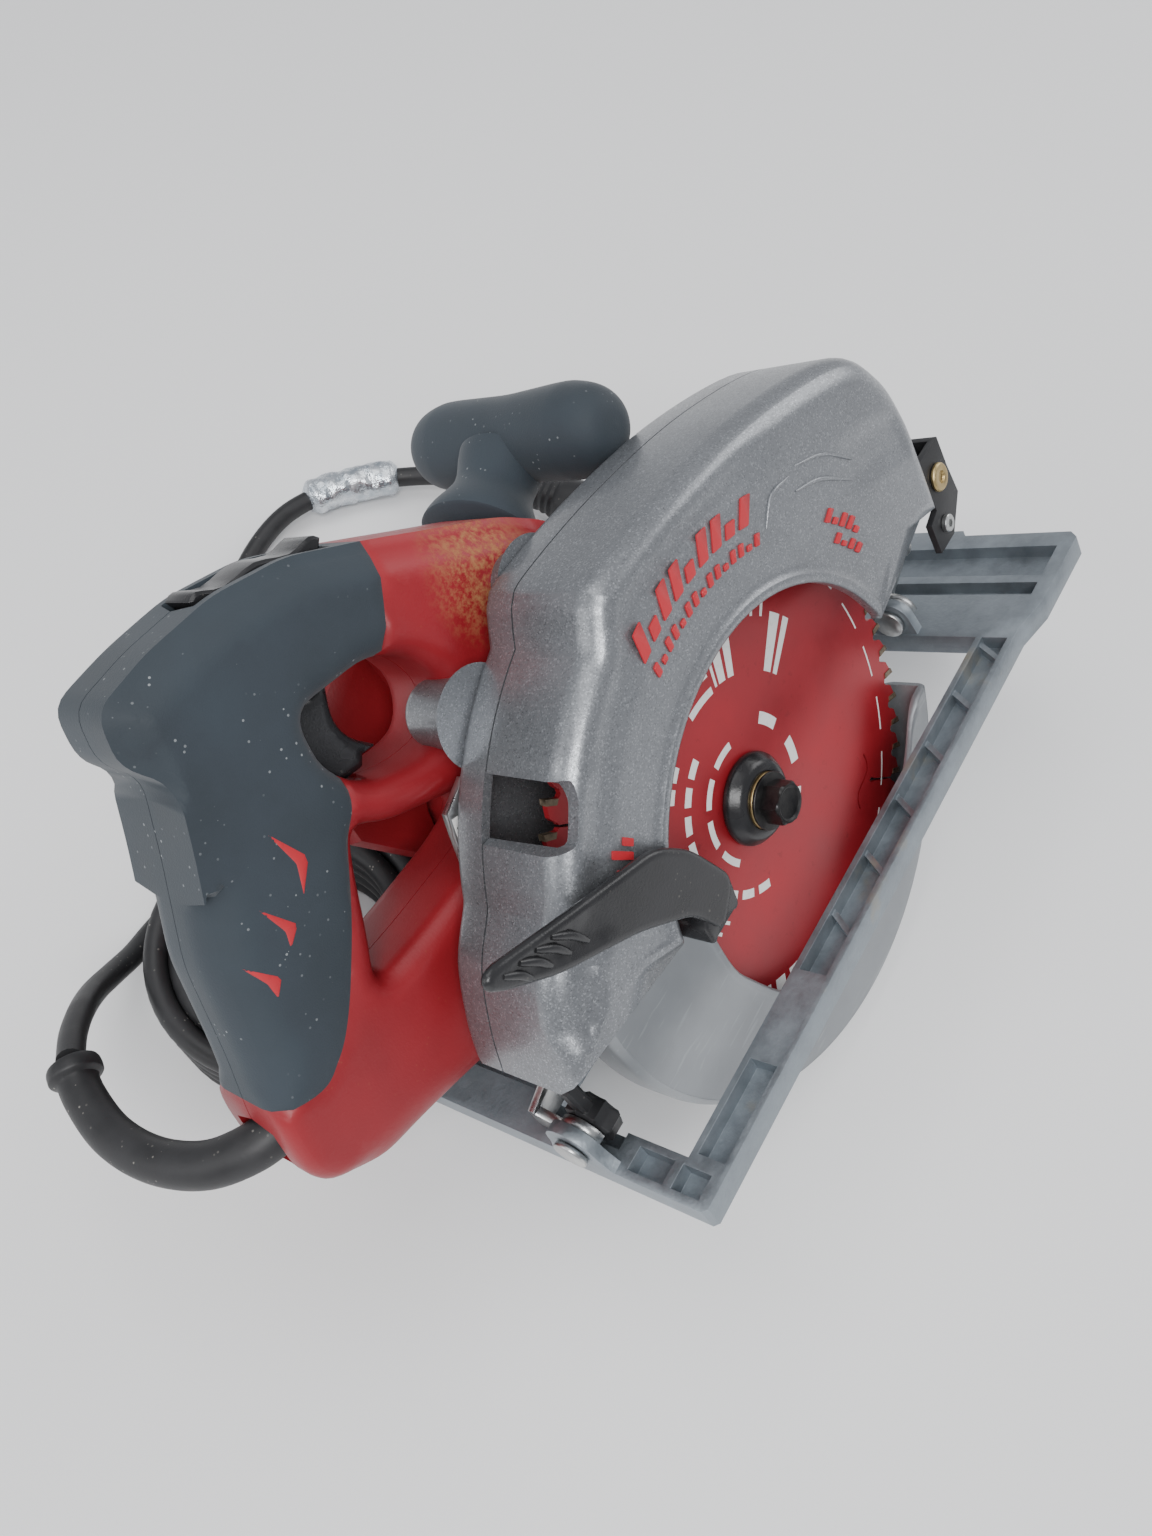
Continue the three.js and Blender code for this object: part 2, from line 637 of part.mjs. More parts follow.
function placedAlong(geometry, from, to) {
  const along = new THREE.Vector3().subVectors(to, from).normalize();
  const turn = new THREE.Quaternion().setFromUnitVectors(new THREE.Vector3(0, 1, 0), along);
  const middle = new THREE.Vector3().addVectors(from, to).multiplyScalar(0.5);
  return solid(geometry.applyQuaternion(turn).translate(middle.x, middle.y, middle.z));
}

function frontGrip() {
  const [x, y, z] = barCentre;
  const half = [[0, barHalf], [8, barHalf - 2], [13, barHalf - 7], [15, barHalf - 16]];
  const profile = [...half.map(([r, end]) => [r, y - end]), [14, y],
    ...half.reverse().map(([r, end]) => [r, y + end])];
  const bar = turned(profile, x, z, 20);
  return join(bar, frontPost());
}

function handleBase() {
  const from = new THREE.Vector3(-10, 58, 78);
  const to = new THREE.Vector3(...postFoot);
  const base = placedAlong(new THREE.CylinderGeometry(21, 24, from.distanceTo(to), 28, 1), from, to);
  const room = block(-60, 80, 0, 42.6, 0, 160);
  const whole = join(base, ...motorFairing());
  return cut(whole, motorRoom(), room, postRoom(), handleBody(-gap, [[0, 0]]));
}

// The bulge over the motor, which starts clear of the fingers behind the trigger.
function motorFairing() {
  const side = handleMiddle + handleHalf;
  const bulge = acrossY([[-40, 20], [-66, 30], [-79, 52], [-77, 74], [-62, 94], [-38, 104],
    [-12, 100], [2, 70]], side + fingerRoom, brushY, 7);
  const web = acrossY([[-37, 40], [-37, 103], [-12, 100], [2, 70], [0, 40]], side + gap,
    brushY - 8, 3);
  return [bulge, web];
}

// ---- Shoe, depth and bevel parts ----
function shoeOutline() {
  return [[shoeRear, shoeRight + 1.5], [shoeRear + 1.5, shoeRight], [noseStart - 14, shoeRight],
    [noseStart, shoeRight - noseFlare], [shoeFront - 3, shoeRight - noseFlare],
    [shoeFront, shoeRight - noseFlare + 3], [shoeFront, -1], [shoeFront + 3, 1],
    [shoeFront + 3, shoeLeft - 4], [shoeFront, shoeLeft],
    [shoeRear + 3, shoeLeft], [shoeRear, shoeLeft - 3]];
}

function pocket(x0, x1, y0, y1) {
  return block(x0, x1, y0, y1, sole + shoeFloor, shoeTop + 1);
}

function shoePlate() {
  const rib = 2.2;
  const stripIn = shoeRight + stripWidth;
  const plate = alongZ(shoeOutline(), sole, shoeTop);
  const window = block(windowRear, windowFront, stripIn, windowLeft, sole - 1, shoeTop + 1);
  const strip = [[windowRear + 2, -74], [-42, windowFront]].map(
    ([x0, x1]) => pocket(x0, x1, shoeRight + rib, stripIn - rib));
  const nose = [pocket(noseStart + 4, 132, shoeRight + 2, shoeLeft - 26),
    pocket(136, 152, shoeRight + 2, shoeLeft - 6)];
  const rearRail = [pocket(-117.6, -110, -38, -28), pocket(-117.6, -110, -25, -12)];
  const table = pocket(windowRear + 2, 100, windowLeft + 3, shoeLeft - 4);
  const ribs = Array.from({ length: 6 }, (_, i) => {
    const x = -28 + 24 * i;
    const y0 = shoeRight + 1;
    return alongZ([[x, y0], [x + 2.4, y0], [x + 11, stripIn - 1], [x + 8.6, stripIn - 1]],
      sole + 1, shoeTop - 1.4);
  });
  const crossRibs = Array.from({ length: 4 }, (_, i) => {
    const x = -66 + 44 * i;
    return block(x, x + 2.4, windowLeft + 1, shoeLeft - 2, sole + 1, shoeTop - 1.5);
  });
  const relief = block(shoeRear + 7, windowRear + 1, bevelY - 9.5, bevelY + 9.5, sole + 3, 0);
  const boss = alongX([...arc(9.5, 180, 0, 12, bevelY, bevelZ), [bevelY + 13, shoeTop - 1],
    [bevelY - 13, shoeTop - 1]], shoeRear, shoeRear + 4);
  const lug = alongX([...arc(8, 180, 0, 12, bevelY, bevelZ), [bevelY + 9, shoeTop - 1],
    [bevelY - 9, shoeTop - 1]], windowFront + 1, windowFront + 5);
  const pins = [pinX(pinRadius + gap, shoeRear - 2, shoeRear + 6, bevelY, bevelZ),
    pinX(pinRadius + gap, windowFront, windowFront + 7, bevelY, bevelZ)];
  const hollow = cut(plate, window, ...strip, ...nose, ...rearRail, table, relief);
  return cut(join(hollow, ...ribs, ...crossRibs, boss, lug), ...pins);
}

// The rear bracket: a foot on the bevel pin and a slotted arm that slides beside the guard.
function depthBracket() {
  const x0 = shoeRear + 4 + gap;
  const foot = alongX([...footTop(), [armY[1], bevelZ + 4], [armY[1], bevelZ - 4.5],
    ...footBottom()], x0, x0 + 3);
  const base = acrossY([[x0, bevelZ - 4.5], [pivotX - armRadius + armHalf, bevelZ - 4.5],
    [pivotX - armRadius + armHalf, pivotZ + 2], [x0, bevelZ + 4]], ...armY);
  const top = polar(armRadius, armTopAngle, pivotX, pivotZ);
  const outline = [...arc(armRadius + armHalf, 182, armTopAngle, 14, pivotX, pivotZ),
    ...arc(armHalf, 60, -30, 3, ...top),
    ...arc(armRadius - armHalf, armTopAngle, 182, 14, pivotX, pivotZ)];
  const arm = acrossY(outline, ...armY);
  const slotTop = armTopAngle + 0.7;
  const slot = acrossY([...arc(armRadius + slotHalf, lockAngle + 1, slotTop, 10, pivotX, pivotZ),
    ...arc(armRadius - slotHalf, slotTop, lockAngle + 1, 10, pivotX, pivotZ)],
  armY[0] - 1, armY[1] + 1);
  const pin = pinX(pinRadius + gap, x0 - 1, x0 + 4, bevelY, bevelZ);
  return cut(join(foot, base, arm), slot, pin);
}

// A foot is wide over the bevel pin, and round under it where the shoe tilts up.
const footTop = () => arc(7.5, 180, 0, 12, bevelY, bevelZ);
const footBottom = () => arc(footRadius, 270, 190, 6, bevelY, bevelZ);

function frontBracket() {
  const x0 = windowFront + 5 + gap;
  const foot = alongX([...footTop(), [bevelY + 7.5, bevelZ - 4.5], ...footBottom()], x0, x0 + 3);
  const arm = acrossY([[x0, bevelZ + 3], [x0 + 3, bevelZ + 1], [pivotX + 7, pivotZ - 3],
    ...arc(7, 0, 180, 8, pivotX, pivotZ), [x0, pivotZ + 2]], bevelY + 3, bevelY + 6);
  const holes = [pinX(pinRadius + gap, x0 - 1, x0 + 4, bevelY, bevelZ),
    disc(pinRadius + gap, bevelY, bevelY + 9, pivotX, pivotZ, 20)];
  return cut(join(foot, arm), ...holes);
}

// The housing's tongue that the depth pivot pin runs through.
function pivotTongue() {
  const tongue = [[104, guardBottom + 4], [119, guardBottom + 6], [pivotX + 6, pivotZ + 2],
    ...arc(7, 0, -180, 8, pivotX, pivotZ), [104, guardBottom - 4]];
  const hole = disc(pinRadius + gap, bevelY, bevelY + 14, pivotX, pivotZ, 20);
  return cut(acrossY(tongue, bevelY + 6 + gap, bevelY + 10.5), hole);
}

function addShoeParts() {
  add('shoe_plate', 'magnesium', shoePlate());
  add('depth_bracket', 'steel', depthBracket());
  add('front_bracket', 'steel', frontBracket());
  const rivet = (x0, x1, head) => join(pinX(pinRadius, x0, x1, bevelY, bevelZ),
    pinX(5.6, head, head + 2, bevelY, bevelZ));
  add('bevel_pin_rear', 'steel', rivet(shoeRear - 1.2, shoeRear + 11, shoeRear - 2.3));
  add('bevel_pin_front', 'steel', rivet(windowFront + 1 - 2.2, windowFront + 9.4, windowFront - 1.3));
  const pivot = join(disc(pinRadius, bevelY, bevelY + 13, 0, 0, 20),
    disc(6, bevelY + 10.5 + gap, bevelY + 13, 0, 0, 20));
  add('depth_pivot_pin', 'steel', pivot, saw, [pivotX, 0, pivotZ]);
  add('bevel_lock_knob', 'black', bevelKnob(), saw, [shoeRear + 7.8, bevelY, bevelZ]);
  const [lockX, lockZ] = lockSpot();
  add('depth_lock_bolt', 'steel', lockBolt(), saw, [lockX, 0, lockZ]);
  add('depth_lock_lever', 'black', lockLever(), saw, [lockX, 0, lockZ]);
}

function bevelKnob() {
  const outline = Array.from({ length: 24 }, (_, i) => {
    const radius = i % 3 === 0 ? 8.4 : 7;
    const angle = 15 * i * deg;
    return [radius * Math.cos(angle), radius * Math.sin(angle)];
  });
  const hole = circle(pinRadius + gap, 16);
  const wing = alongX([[-3, 4], [3, 4], [2.4, 17], [-2.4, 17]], 1, 6, 1);
  return join(alongX(outline, 0, 8, 1, [hole]), wing);
}

// The clamp on the depth arm: its bolt stands on the housing and runs through the slot.
function lockSpot() {
  return polar(armRadius, lockAngle, pivotX, pivotZ);
}


function lockBolt() {
  return disc(2.6, housingFace + gap, armY[1] + 3, 0, 0, 20);
}

function lockLever() {
  const y0 = armY[1] + gap;
  const boss = ring(2.6 + gap, 7, y0, y0 + 2.6, 0, 0, 16);
  const arm = acrossY([[-6, 1], [2, -6], [-9, -20], [-19, -20], [-20, -13]], y0, y0 + 2.6);
  const pad = block(-19, -10, y0, y0 + 24, -20, -13.5);
  return cut(join(boss, arm, pad), disc(2.6 + gap, y0 - 1, y0 + 4, 0, 0, 20));
}

// ---- Laser at the front ----
function addLaser() {
  const bracket = cut(join(
    acrossY([[122, 36], [136, 36], [138, 12], [127, 2], [116, 2], [116, 14], [122, 16]], -19, -16.6),
    acrossY([[122.2, 36], [137, 36], [137, 20], [122.2, 20]], -19, 2)),
  acrossY([[124, 38], [134.6, 38], [134.6, 18], [124, 18]], -16.6, 3));
  add('laser_bracket', 'black', bracket);
  const screw = turned([[0, -20.8], [5, -20.8], [5, -19 - gap], [0, -19 - gap]], 129, 25, 20);
  add('laser_aim_screw', 'brass', screw);
  const small = turned([[0, -21], [3.2, -21], [3.2, -19 - gap], [0, -19 - gap]], 124, 9, 16);
  add('laser_bracket_screw', 'steel', small);
  const body = pinZ(4.6, 17, 33, 129.4, -8, 18);
  add('laser_module', 'blackSteel', body);
}

// ---- Spindle lock and small parts ----
function addSmallParts() {
  const button = pinX(lockRadius, lockStart, motorX + motorRadius + 6, 0, 0);
  add('spindle_lock_button', 'red', button, saw, [0, lockY, motorZ]);
  add('trigger', 'black', trigger());
  const frame = switchFrame();
  const tilt = new THREE.Group();
  tilt.position.set(frame.x, handleMiddle, frame.z);
  tilt.rotation.y = frame.turn;
  saw.add(tilt);
  add('laser_switch', 'black', laserSwitch(), tilt);
  add('trigger_switch_box', 'black', block(-118, -99, handleMiddle - 8, handleMiddle + 8, 98, 122));
  add('guard_return_spring', 'steel', ring(noseRadius + 6, noseRadius + 8.4, 10, 15.6));
}

// ---- Cord ----
const turn = (y, z) => [y * Math.cos(rest) + z * Math.sin(rest), z * Math.cos(rest) - y * Math.sin(rest)];
const lift = -turn(shoeLeft, sole)[1]; // of the arbor over the floor

// The boot's middle line, in the saw frame.
const bootLine = [[-150, 45, 39], [-160, 45.5, 39.6], [-170, 49, 40.6], [-180, 59, 42.4],
  [-186, 75, 45.6], [-187, 92, 50.5], [-183, 107, 56.6], [-177.6, 116.4, 61.6]];
const bootRadius = 6.9;

// The route, in the resting pose with the floor at height 0.
const coilCentre = [-103, 116.8];
const leadLine = [[-177, 133, 66.4], [-170, 143, 57], [-162, 152, 46], [-154, 159.5, 34],
  [-145, 165, 22], [-134, 169, 12], [-123, 172, 6.5], [-112, 172.7, 4.6], [-101, 172.7, 4.5]];
const tailLine = [[-92, 172, 25], [-75, 171, 20], [-56, 175, 13], [-38, 187, 7], [-25, 203, 4.5],
  [-14, 221, 4.5], [1, 239, 4.5], [20, 250, 5], [40, 255, 7.5], [60, 255, 9.4], [78, 249, 9.4],
  [95, 237, 9.4], [109, 221, 9.4], [119, 203, 11], [125, 186, 14], [128, 171, 14.4]];
const wrapFrom = 0.66; // share of the tail where its tape starts and ends
const wrapTo = 0.81;
const plugEnd = [132, 128, 14.4];

const curveOf = (line) => new THREE.CatmullRomCurve3(
  line.map((p) => new THREE.Vector3(...p)), false, 'centripetal');

function tube(curve, radius, steps, sides, bore = 0) {
  const shape = new THREE.Shape(circle(radius, sides).map(pair));
  if (bore) shape.holes.push(new THREE.Path(circle(bore, sides).map(pair)));
  return solid(new THREE.ExtrudeGeometry(shape, { steps, extrudePath: curve, curveSegments: 1 }));
}

function boot() {
  const curve = curveOf(bootLine);
  const collar = curveOf([0.955, 0.985, 1].map((t) => curve.getPoint(t).toArray()));
  return join(tube(curve, bootRadius, 12, 10), tube(collar, bootRadius + 2, 2, 10));
}

function cordExitRoom() {
  return tube(curveOf(bootLine.slice(0, 5)), bootRadius + 2 * gap, 10, 10);
}

// The part of a curve between two shares of its length.
function stretch(curve, from, to, count) {
  return curveOf(Array.from({ length: count + 1 }, (_, i) => (
    curve.getPointAt(from + (to - from) * i / count).toArray())));
}

function addCord(pose) {
  const cordRadius = cordDiameter / 2;
  add('cord_lead', 'black', tube(curveOf(leadLine), cordRadius, 14, 8), pose);
  const across = coilAcross * cordRadius;
  const section = [[coilMiddle - across, 0], [coilMiddle + across, 0],
    [coilMiddle + across, coilHigh * cordDiameter], [coilMiddle - across, coilHigh * cordDiameter],
    [coilMiddle - across, 0]];
  const coil = solid(new THREE.LatheGeometry(section.map(pair), 28).rotateX(Math.PI / 2));
  add('cord_coil', 'black', coil, pose, [...coilCentre, 0]);
  const tail = curveOf(tailLine);
  add('cord_tail', 'black', tube(tail, cordRadius, 34, 8), pose);
  const wrap = stretch(tail, wrapFrom, wrapTo, 6);
  add('cord_tape_wrap', 'tape', tube(wrap, 9, 8, 10, cordRadius + 0.5), pose);
  add('plug', 'black', plug(), pose);
}

function plug() {
  const from = new THREE.Vector3(...tailLine.at(-1));
  const to = new THREE.Vector3(...plugEnd);
  const along = new THREE.Vector3().subVectors(to, from).normalize();
  from.addScaledVector(along, 3 * gap);
  const body = placedAlong(new THREE.CylinderGeometry(13, 8, from.distanceTo(to), 20), from, to);
  const tip = to.clone().addScaledVector(along, 17);
  const blade = (aside) => {
    const prong = new THREE.BoxGeometry(1.5, 19, 6.4).translate(aside, -1, 2);
    return placedAlong(prong, to, tip);
  };
  const earth = placedAlong(new THREE.CylinderGeometry(2.4, 2.4, 20, 14).translate(0, 0, -6), to, tip);
  return join(body, blade(-6.3), blade(6.3), earth);
}

// ---- Assembly ----
function addBody() {
  const cover = guardCover();
  add('guard_cover', 'silver', cover);
  add('guard_housing', 'silver', guardHousing());
  add('gear_case', 'silver', gearCase());
  coverScrews();
}

addBody();
addBladeSet();
add('lower_guard', 'grey', lowerGuard());
add('guard_lever', 'black', guardLever());
addMotor();
addHandle();
add('handle_base', 'red', handleBase());
add('front_handle', 'rubber', frontGrip());
addSmallParts();
addShoeParts();
addLaser();
add('strain_relief_boot', 'black', boot());
saw.position.z = lift;
saw.updateMatrixWorld(true);
const middle = new THREE.Box3().setFromObject(saw, true).getCenter(new THREE.Vector3());
const pose = new THREE.Group();
model.add(pose);
addCord(pose);
saw.position.x = -middle.x;
saw.position.y = -middle.y;
pose.position.set(-middle.x, -middle.y, 0);

export default model;
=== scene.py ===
import json
import math

import bmesh
import bpy
import numpy as np
from bpy.props import FloatProperty, FloatVectorProperty, IntProperty, PointerProperty
from mathutils import Matrix, Vector
from mathutils.geometry import delaunay_2d_cdt

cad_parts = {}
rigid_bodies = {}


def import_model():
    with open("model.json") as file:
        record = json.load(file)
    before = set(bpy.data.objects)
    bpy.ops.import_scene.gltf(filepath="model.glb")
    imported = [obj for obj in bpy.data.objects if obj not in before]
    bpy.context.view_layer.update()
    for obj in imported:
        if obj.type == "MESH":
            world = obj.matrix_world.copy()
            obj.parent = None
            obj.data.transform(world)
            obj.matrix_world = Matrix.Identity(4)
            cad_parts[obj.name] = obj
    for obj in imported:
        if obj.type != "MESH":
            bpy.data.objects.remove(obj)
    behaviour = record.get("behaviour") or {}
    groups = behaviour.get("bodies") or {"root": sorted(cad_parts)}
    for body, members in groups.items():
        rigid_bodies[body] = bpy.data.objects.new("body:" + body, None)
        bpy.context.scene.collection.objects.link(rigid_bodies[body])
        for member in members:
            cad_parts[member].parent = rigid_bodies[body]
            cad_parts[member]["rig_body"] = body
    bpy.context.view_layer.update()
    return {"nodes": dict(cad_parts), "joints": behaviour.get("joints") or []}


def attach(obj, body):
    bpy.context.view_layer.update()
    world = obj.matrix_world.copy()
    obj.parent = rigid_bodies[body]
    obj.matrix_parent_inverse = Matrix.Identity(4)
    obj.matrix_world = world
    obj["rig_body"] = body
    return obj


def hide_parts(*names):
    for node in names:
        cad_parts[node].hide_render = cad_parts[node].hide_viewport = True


bl_info = {
    "name": "Circular saw",
    "version": (1, 0, 0),
    "blender": (4, 5, 0),
    "location": "3D View > Sidebar > Saw",
    "description": "Builds the visible surfaces and finishes of a corded circular saw",
    "category": "Object",
}

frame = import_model()

# The saw's own directions, in the frame's: forwards along the cut, across to the motor, up from the sole.
SPIN = next(j for j in frame["joints"] if j["name"] == "blade_spin")
ARBOR = np.array(SPIN["pos_m"])
FORWARD = np.array([1.0, 0.0, 0.0])
ACROSS = np.array(SPIN["axis"]) / np.linalg.norm(SPIN["axis"])
UP = np.cross(FORWARD, ACROSS)
MM = 0.001


def in_frame(points):
    """Saw millimetres to frame metres: arbor + x forwards + y across + z up."""
    p = np.asarray(points, float)
    return ARBOR + (p[:, :1] * FORWARD + p[:, 1:2] * ACROSS + p[:, 2:3] * UP) * MM


def in_saw(points):
    """Frame metres to saw millimetres, the other way round."""
    p = (np.asarray(points, float) - ARBOR) / MM
    return np.stack([p @ FORWARD, p @ ACROSS, p @ UP], axis=1)


def node_box(node):
    """Lowest and highest corners of a node in saw millimetres."""
    points = in_saw(node_points(node))
    return points.min(0), points.max(0)


def node_points(node):
    """A node's points in frame metres."""
    mesh = frame["nodes"][node].data
    flat = np.zeros(len(mesh.vertices) * 3, np.float32)
    mesh.vertices.foreach_get("co", flat)
    return flat.reshape(-1, 3)


# ---- Sizes and finishes that a user would change ----
class SawSizes(bpy.types.PropertyGroup):
    blade_radius: FloatProperty(name="Blade radius", default=0.092, unit="LENGTH",
                                description="From the arbor to the tips")
    blade_teeth: IntProperty(name="Teeth", default=60, description="Teeth round the blade")
    cord_diameter: FloatProperty(name="Cord diameter", default=0.0085, unit="LENGTH",
                                 description="Outside the sheath")
    grip_round: FloatProperty(name="Grip rounding", default=0.013, unit="LENGTH",
                              description="Radius of the handle's long edges")
    guard_round: FloatProperty(name="Guard rounding", default=0.009, unit="LENGTH",
                               description="Radius of the guard's outer edge")
    edge_break: FloatProperty(name="Edge break", default=0.00045, unit="LENGTH",
                              description="Small rounding on cast and machined edges")


class SawFinishes(bpy.types.PropertyGroup):
    silver: FloatVectorProperty(name="Silver paint", subtype="COLOR", size=3,
                                default=(0.24, 0.25, 0.265), description="Guard and gear case")
    grey: FloatVectorProperty(name="Grey paint", subtype="COLOR", size=3,
                              default=(0.30, 0.315, 0.33), description="Lower guard")
    magnesium: FloatVectorProperty(name="Cast alloy", subtype="COLOR", size=3,
                                   default=(0.30, 0.335, 0.365), description="Shoe")
    red: FloatVectorProperty(name="Red plastic", subtype="COLOR", size=3,
                             default=(0.27, 0.012, 0.018), description="Motor and handle")
    rubber: FloatVectorProperty(name="Rubber", subtype="COLOR", size=3,
                                default=(0.030, 0.040, 0.050), description="Grips")
    blade: FloatVectorProperty(name="Blade coating", subtype="COLOR", size=3,
                               default=(0.34, 0.016, 0.024), description="Blade")


def sizes():
    return bpy.context.scene.saw_sizes


def finishes():
    return bpy.context.scene.saw_finishes


# ---- Outlines: pairs (x, z) in saw millimetres ----
def arc(radius, start, end, count, centre=(0, 0)):
    """centre + radius (cos a, sin a) with a from start to end degrees."""
    a = np.radians(np.linspace(start, end, count + 1))
    return np.stack([centre[0] + radius * np.cos(a), centre[1] + radius * np.sin(a)], axis=1)


def ring_line(radius, count, centre=(0, 0)):
    return arc(radius, 0, 360, count, centre)[:-1]


def curve_through(points, count):
    """Centripetal-like Catmull-Rom: each stretch is the cubic through four neighbours."""
    p = np.asarray(points, float)
    p = np.vstack([2 * p[0] - p[1], p, 2 * p[-1] - p[-2]])
    t = np.linspace(0, len(p) - 3 - 1e-9, count)
    i = t.astype(int)
    u = (t - i)[:, None]
    a, b, c, d = p[i], p[i + 1], p[i + 2], p[i + 3]
    return 0.5 * (2 * b + (c - a) * u + (2 * a - 5 * b + 4 * c - d) * u ** 2
                  + (3 * b - a - 3 * c + d) * u ** 3)


def softened_corners(points, radius, steps=5):
    """Each corner becomes the parabola between the points radius before and after it."""
    p = np.asarray(points, float)
    before, after = np.roll(p, 1, 0) - p, np.roll(p, -1, 0) - p
    long_b = np.linalg.norm(before, axis=1, keepdims=True)
    long_a = np.linalg.norm(after, axis=1, keepdims=True)
    start = p + before / long_b * np.minimum(radius, 0.45 * long_b)
    end = p + after / long_a * np.minimum(radius, 0.45 * long_a)
    t = np.linspace(0, 1, steps + 1)[None, :, None]
    bends = start[:, None] * (1 - t) ** 2 + 2 * p[:, None] * t * (1 - t) + end[:, None] * t ** 2
    return bends.reshape(-1, 2)


def even_steps(loop, step):
    """A closed line walked again in equal steps."""
    p = np.vstack([loop, loop[:1]])
    along = np.r_[0, np.cumsum(np.linalg.norm(np.diff(p, axis=0), axis=1))]
    keep = np.r_[True, np.diff(along) > 1e-6]
    p, along = p[keep], along[keep]
    count = max(8, int(round(along[-1] / step)))
    at = np.linspace(0, along[-1], count + 1)[:-1]
    return np.stack([np.interp(at, along, p[:, k]) for k in (0, 1)], axis=1)


def far_from(points, loops, closed=True):
    """Shortest distance from each point to any stretch of the lines."""
    best = np.full(len(points), 1e9)
    for loop in loops:
        a = np.asarray(loop, float)
        b = np.roll(a, -1, 0) if closed else a[1:]
        a = a if closed else a[:-1]
        along = b - a
        length = np.maximum((along ** 2).sum(1), 1e-12)
        for i in range(0, len(points), 4000):
            q = points[i:i + 4000, None] - a[None]
            t = np.clip((q * along).sum(2) / length, 0, 1)
            gap = np.linalg.norm(q - t[..., None] * along, axis=2).min(1)
            best[i:i + 4000] = np.minimum(best[i:i + 4000], gap)
    return best


def is_inside(points, loop):
    """Even-odd rule: a ray to the right crosses the loop an odd number of times."""
    a = np.asarray(loop, float)
    b = np.roll(a, -1, 0)
    x, z = points[:, 0][:, None], points[:, 1][:, None]
    crosses = (a[:, 1] > z) != (b[:, 1] > z)
    rise = np.where(np.abs(b[:, 1] - a[:, 1]) < 1e-12, 1e-12, b[:, 1] - a[:, 1])
    at = a[:, 0] + (z - a[:, 1]) / rise * (b[:, 0] - a[:, 0])
    return (crosses & (x < at)).sum(1) % 2 == 1


def within(points, outline, holes):
    ok = is_inside(points, outline)
    for hole in holes:
        ok &= ~is_inside(points, hole)
    return ok


def spread(outline, holes=(), spacing=3.0, offsets=(), lines=()):
    """Triangles over an outline with holes: points on the edges, points moved in from them by
    each offset, and a staggered grid, joined by a constrained Delaunay triangulation."""
    loops = [np.asarray(l, float) for l in (outline, *holes)]
    edges_of = []
    points = []
    start = 0
    for loop in loops:
        n = len(loop)
        points.append(loop)
        edges_of += [(start + i, start + (i + 1) % n) for i in range(n)]
        start += n
    for line in lines:
        line = np.asarray(line, float)
        points.append(line)
        edges_of += [(start + i, start + i + 1) for i in range(len(line) - 1)]
        start += len(line)
    rows = []
    for loop in loops:
        ahead = np.roll(loop, -1, 0) - np.roll(loop, 1, 0)
        side = np.stack([-ahead[:, 1], ahead[:, 0]], 1)
        side /= np.maximum(np.linalg.norm(side, axis=1, keepdims=True), 1e-9)
        for offset in offsets:
            for sign in (1, -1):
                rows.append((loop + side * sign * offset, offset))
    for moved, offset in rows:
        ok = within(moved, loops[0], loops[1:]) & (far_from(moved, loops) > offset * 0.97)
        if lines:
            ok &= far_from(moved, lines, closed=False) > 0.3
        points.append(moved[ok])
    low, high = loops[0].min(0), loops[0].max(0)
    xs = np.arange(low[0], high[0], spacing)
    zs = np.arange(low[1], high[1], spacing * 0.866)
    gx, gz = np.meshgrid(xs, zs)
    gx[1::2] += spacing / 2
    grid = np.stack([gx.ravel(), gz.ravel()], 1)
    reach = (max(offsets) if len(offsets) else 0) + spacing * 0.55
    ok = within(grid, loops[0], loops[1:]) & (far_from(grid, loops) > reach)
    if lines:
        ok &= far_from(grid, lines, closed=False) > spacing * 0.4
    points.append(grid[ok])
    every = np.vstack(points)
    found, _, faces, *_ = delaunay_2d_cdt([Vector(p) for p in every], edges_of, [], 0, 1e-5)
    found = np.array([tuple(p) for p in found])
    faces = np.array([f for f in faces if len(f) == 3])
    middle = found[faces].mean(1)
    faces = faces[within(middle, loops[0], loops[1:])]
    a, b, c = found[faces[:, 0]], found[faces[:, 1]], found[faces[:, 2]]
    area = (b[:, 0] - a[:, 0]) * (c[:, 1] - a[:, 1]) - (b[:, 1] - a[:, 1]) * (c[:, 0] - a[:, 0])
    faces[area < 0] = faces[area < 0][:, ::-1]
    return found, faces[np.abs(area) > 1e-7]


def rounded_edge(distance, radius, height):
    """Depth of a quarter-round: height - radius at the edge, height from radius inwards."""
    t = 1 - np.clip(distance / radius, 0, 1)
    return height - radius + radius * np.sqrt(np.maximum(0, 1 - t * t))


def ease(value, low, high):
    """0 below low, 1 above high, and 3 t squared - 2 t cubed between."""
    t = np.clip((value - low) / (high - low), 0, 1)
    return t * t * (3 - 2 * t)


# ---- Meshes ----
def sheet_solid(points, faces, top, bottom):
    """A solid between two heights over one triangulation, closed by a strip along its edge."""
    used, faces = np.unique(faces, return_inverse=True)
    faces = faces.reshape(-1, 3)
    flat, top, bottom = points[used], top[used], bottom[used]
    n = len(used)
    upper = np.stack([flat[:, 0], top, flat[:, 1]], 1)
    lower = np.stack([flat[:, 0], bottom, flat[:, 1]], 1)
    pairs = np.vstack([faces[:, [0, 1]], faces[:, [1, 2]], faces[:, [2, 0]]])
    keys = np.sort(pairs, 1)
    _, first, count = np.unique(keys, axis=0, return_index=True, return_counts=True)
    rim = pairs[first[count == 1]]
    strip = [[b, a, a + n, b + n] for a, b in rim.tolist()]
    return np.vstack([upper, lower]), faces.tolist() + (faces[:, ::-1] + n).tolist() + strip


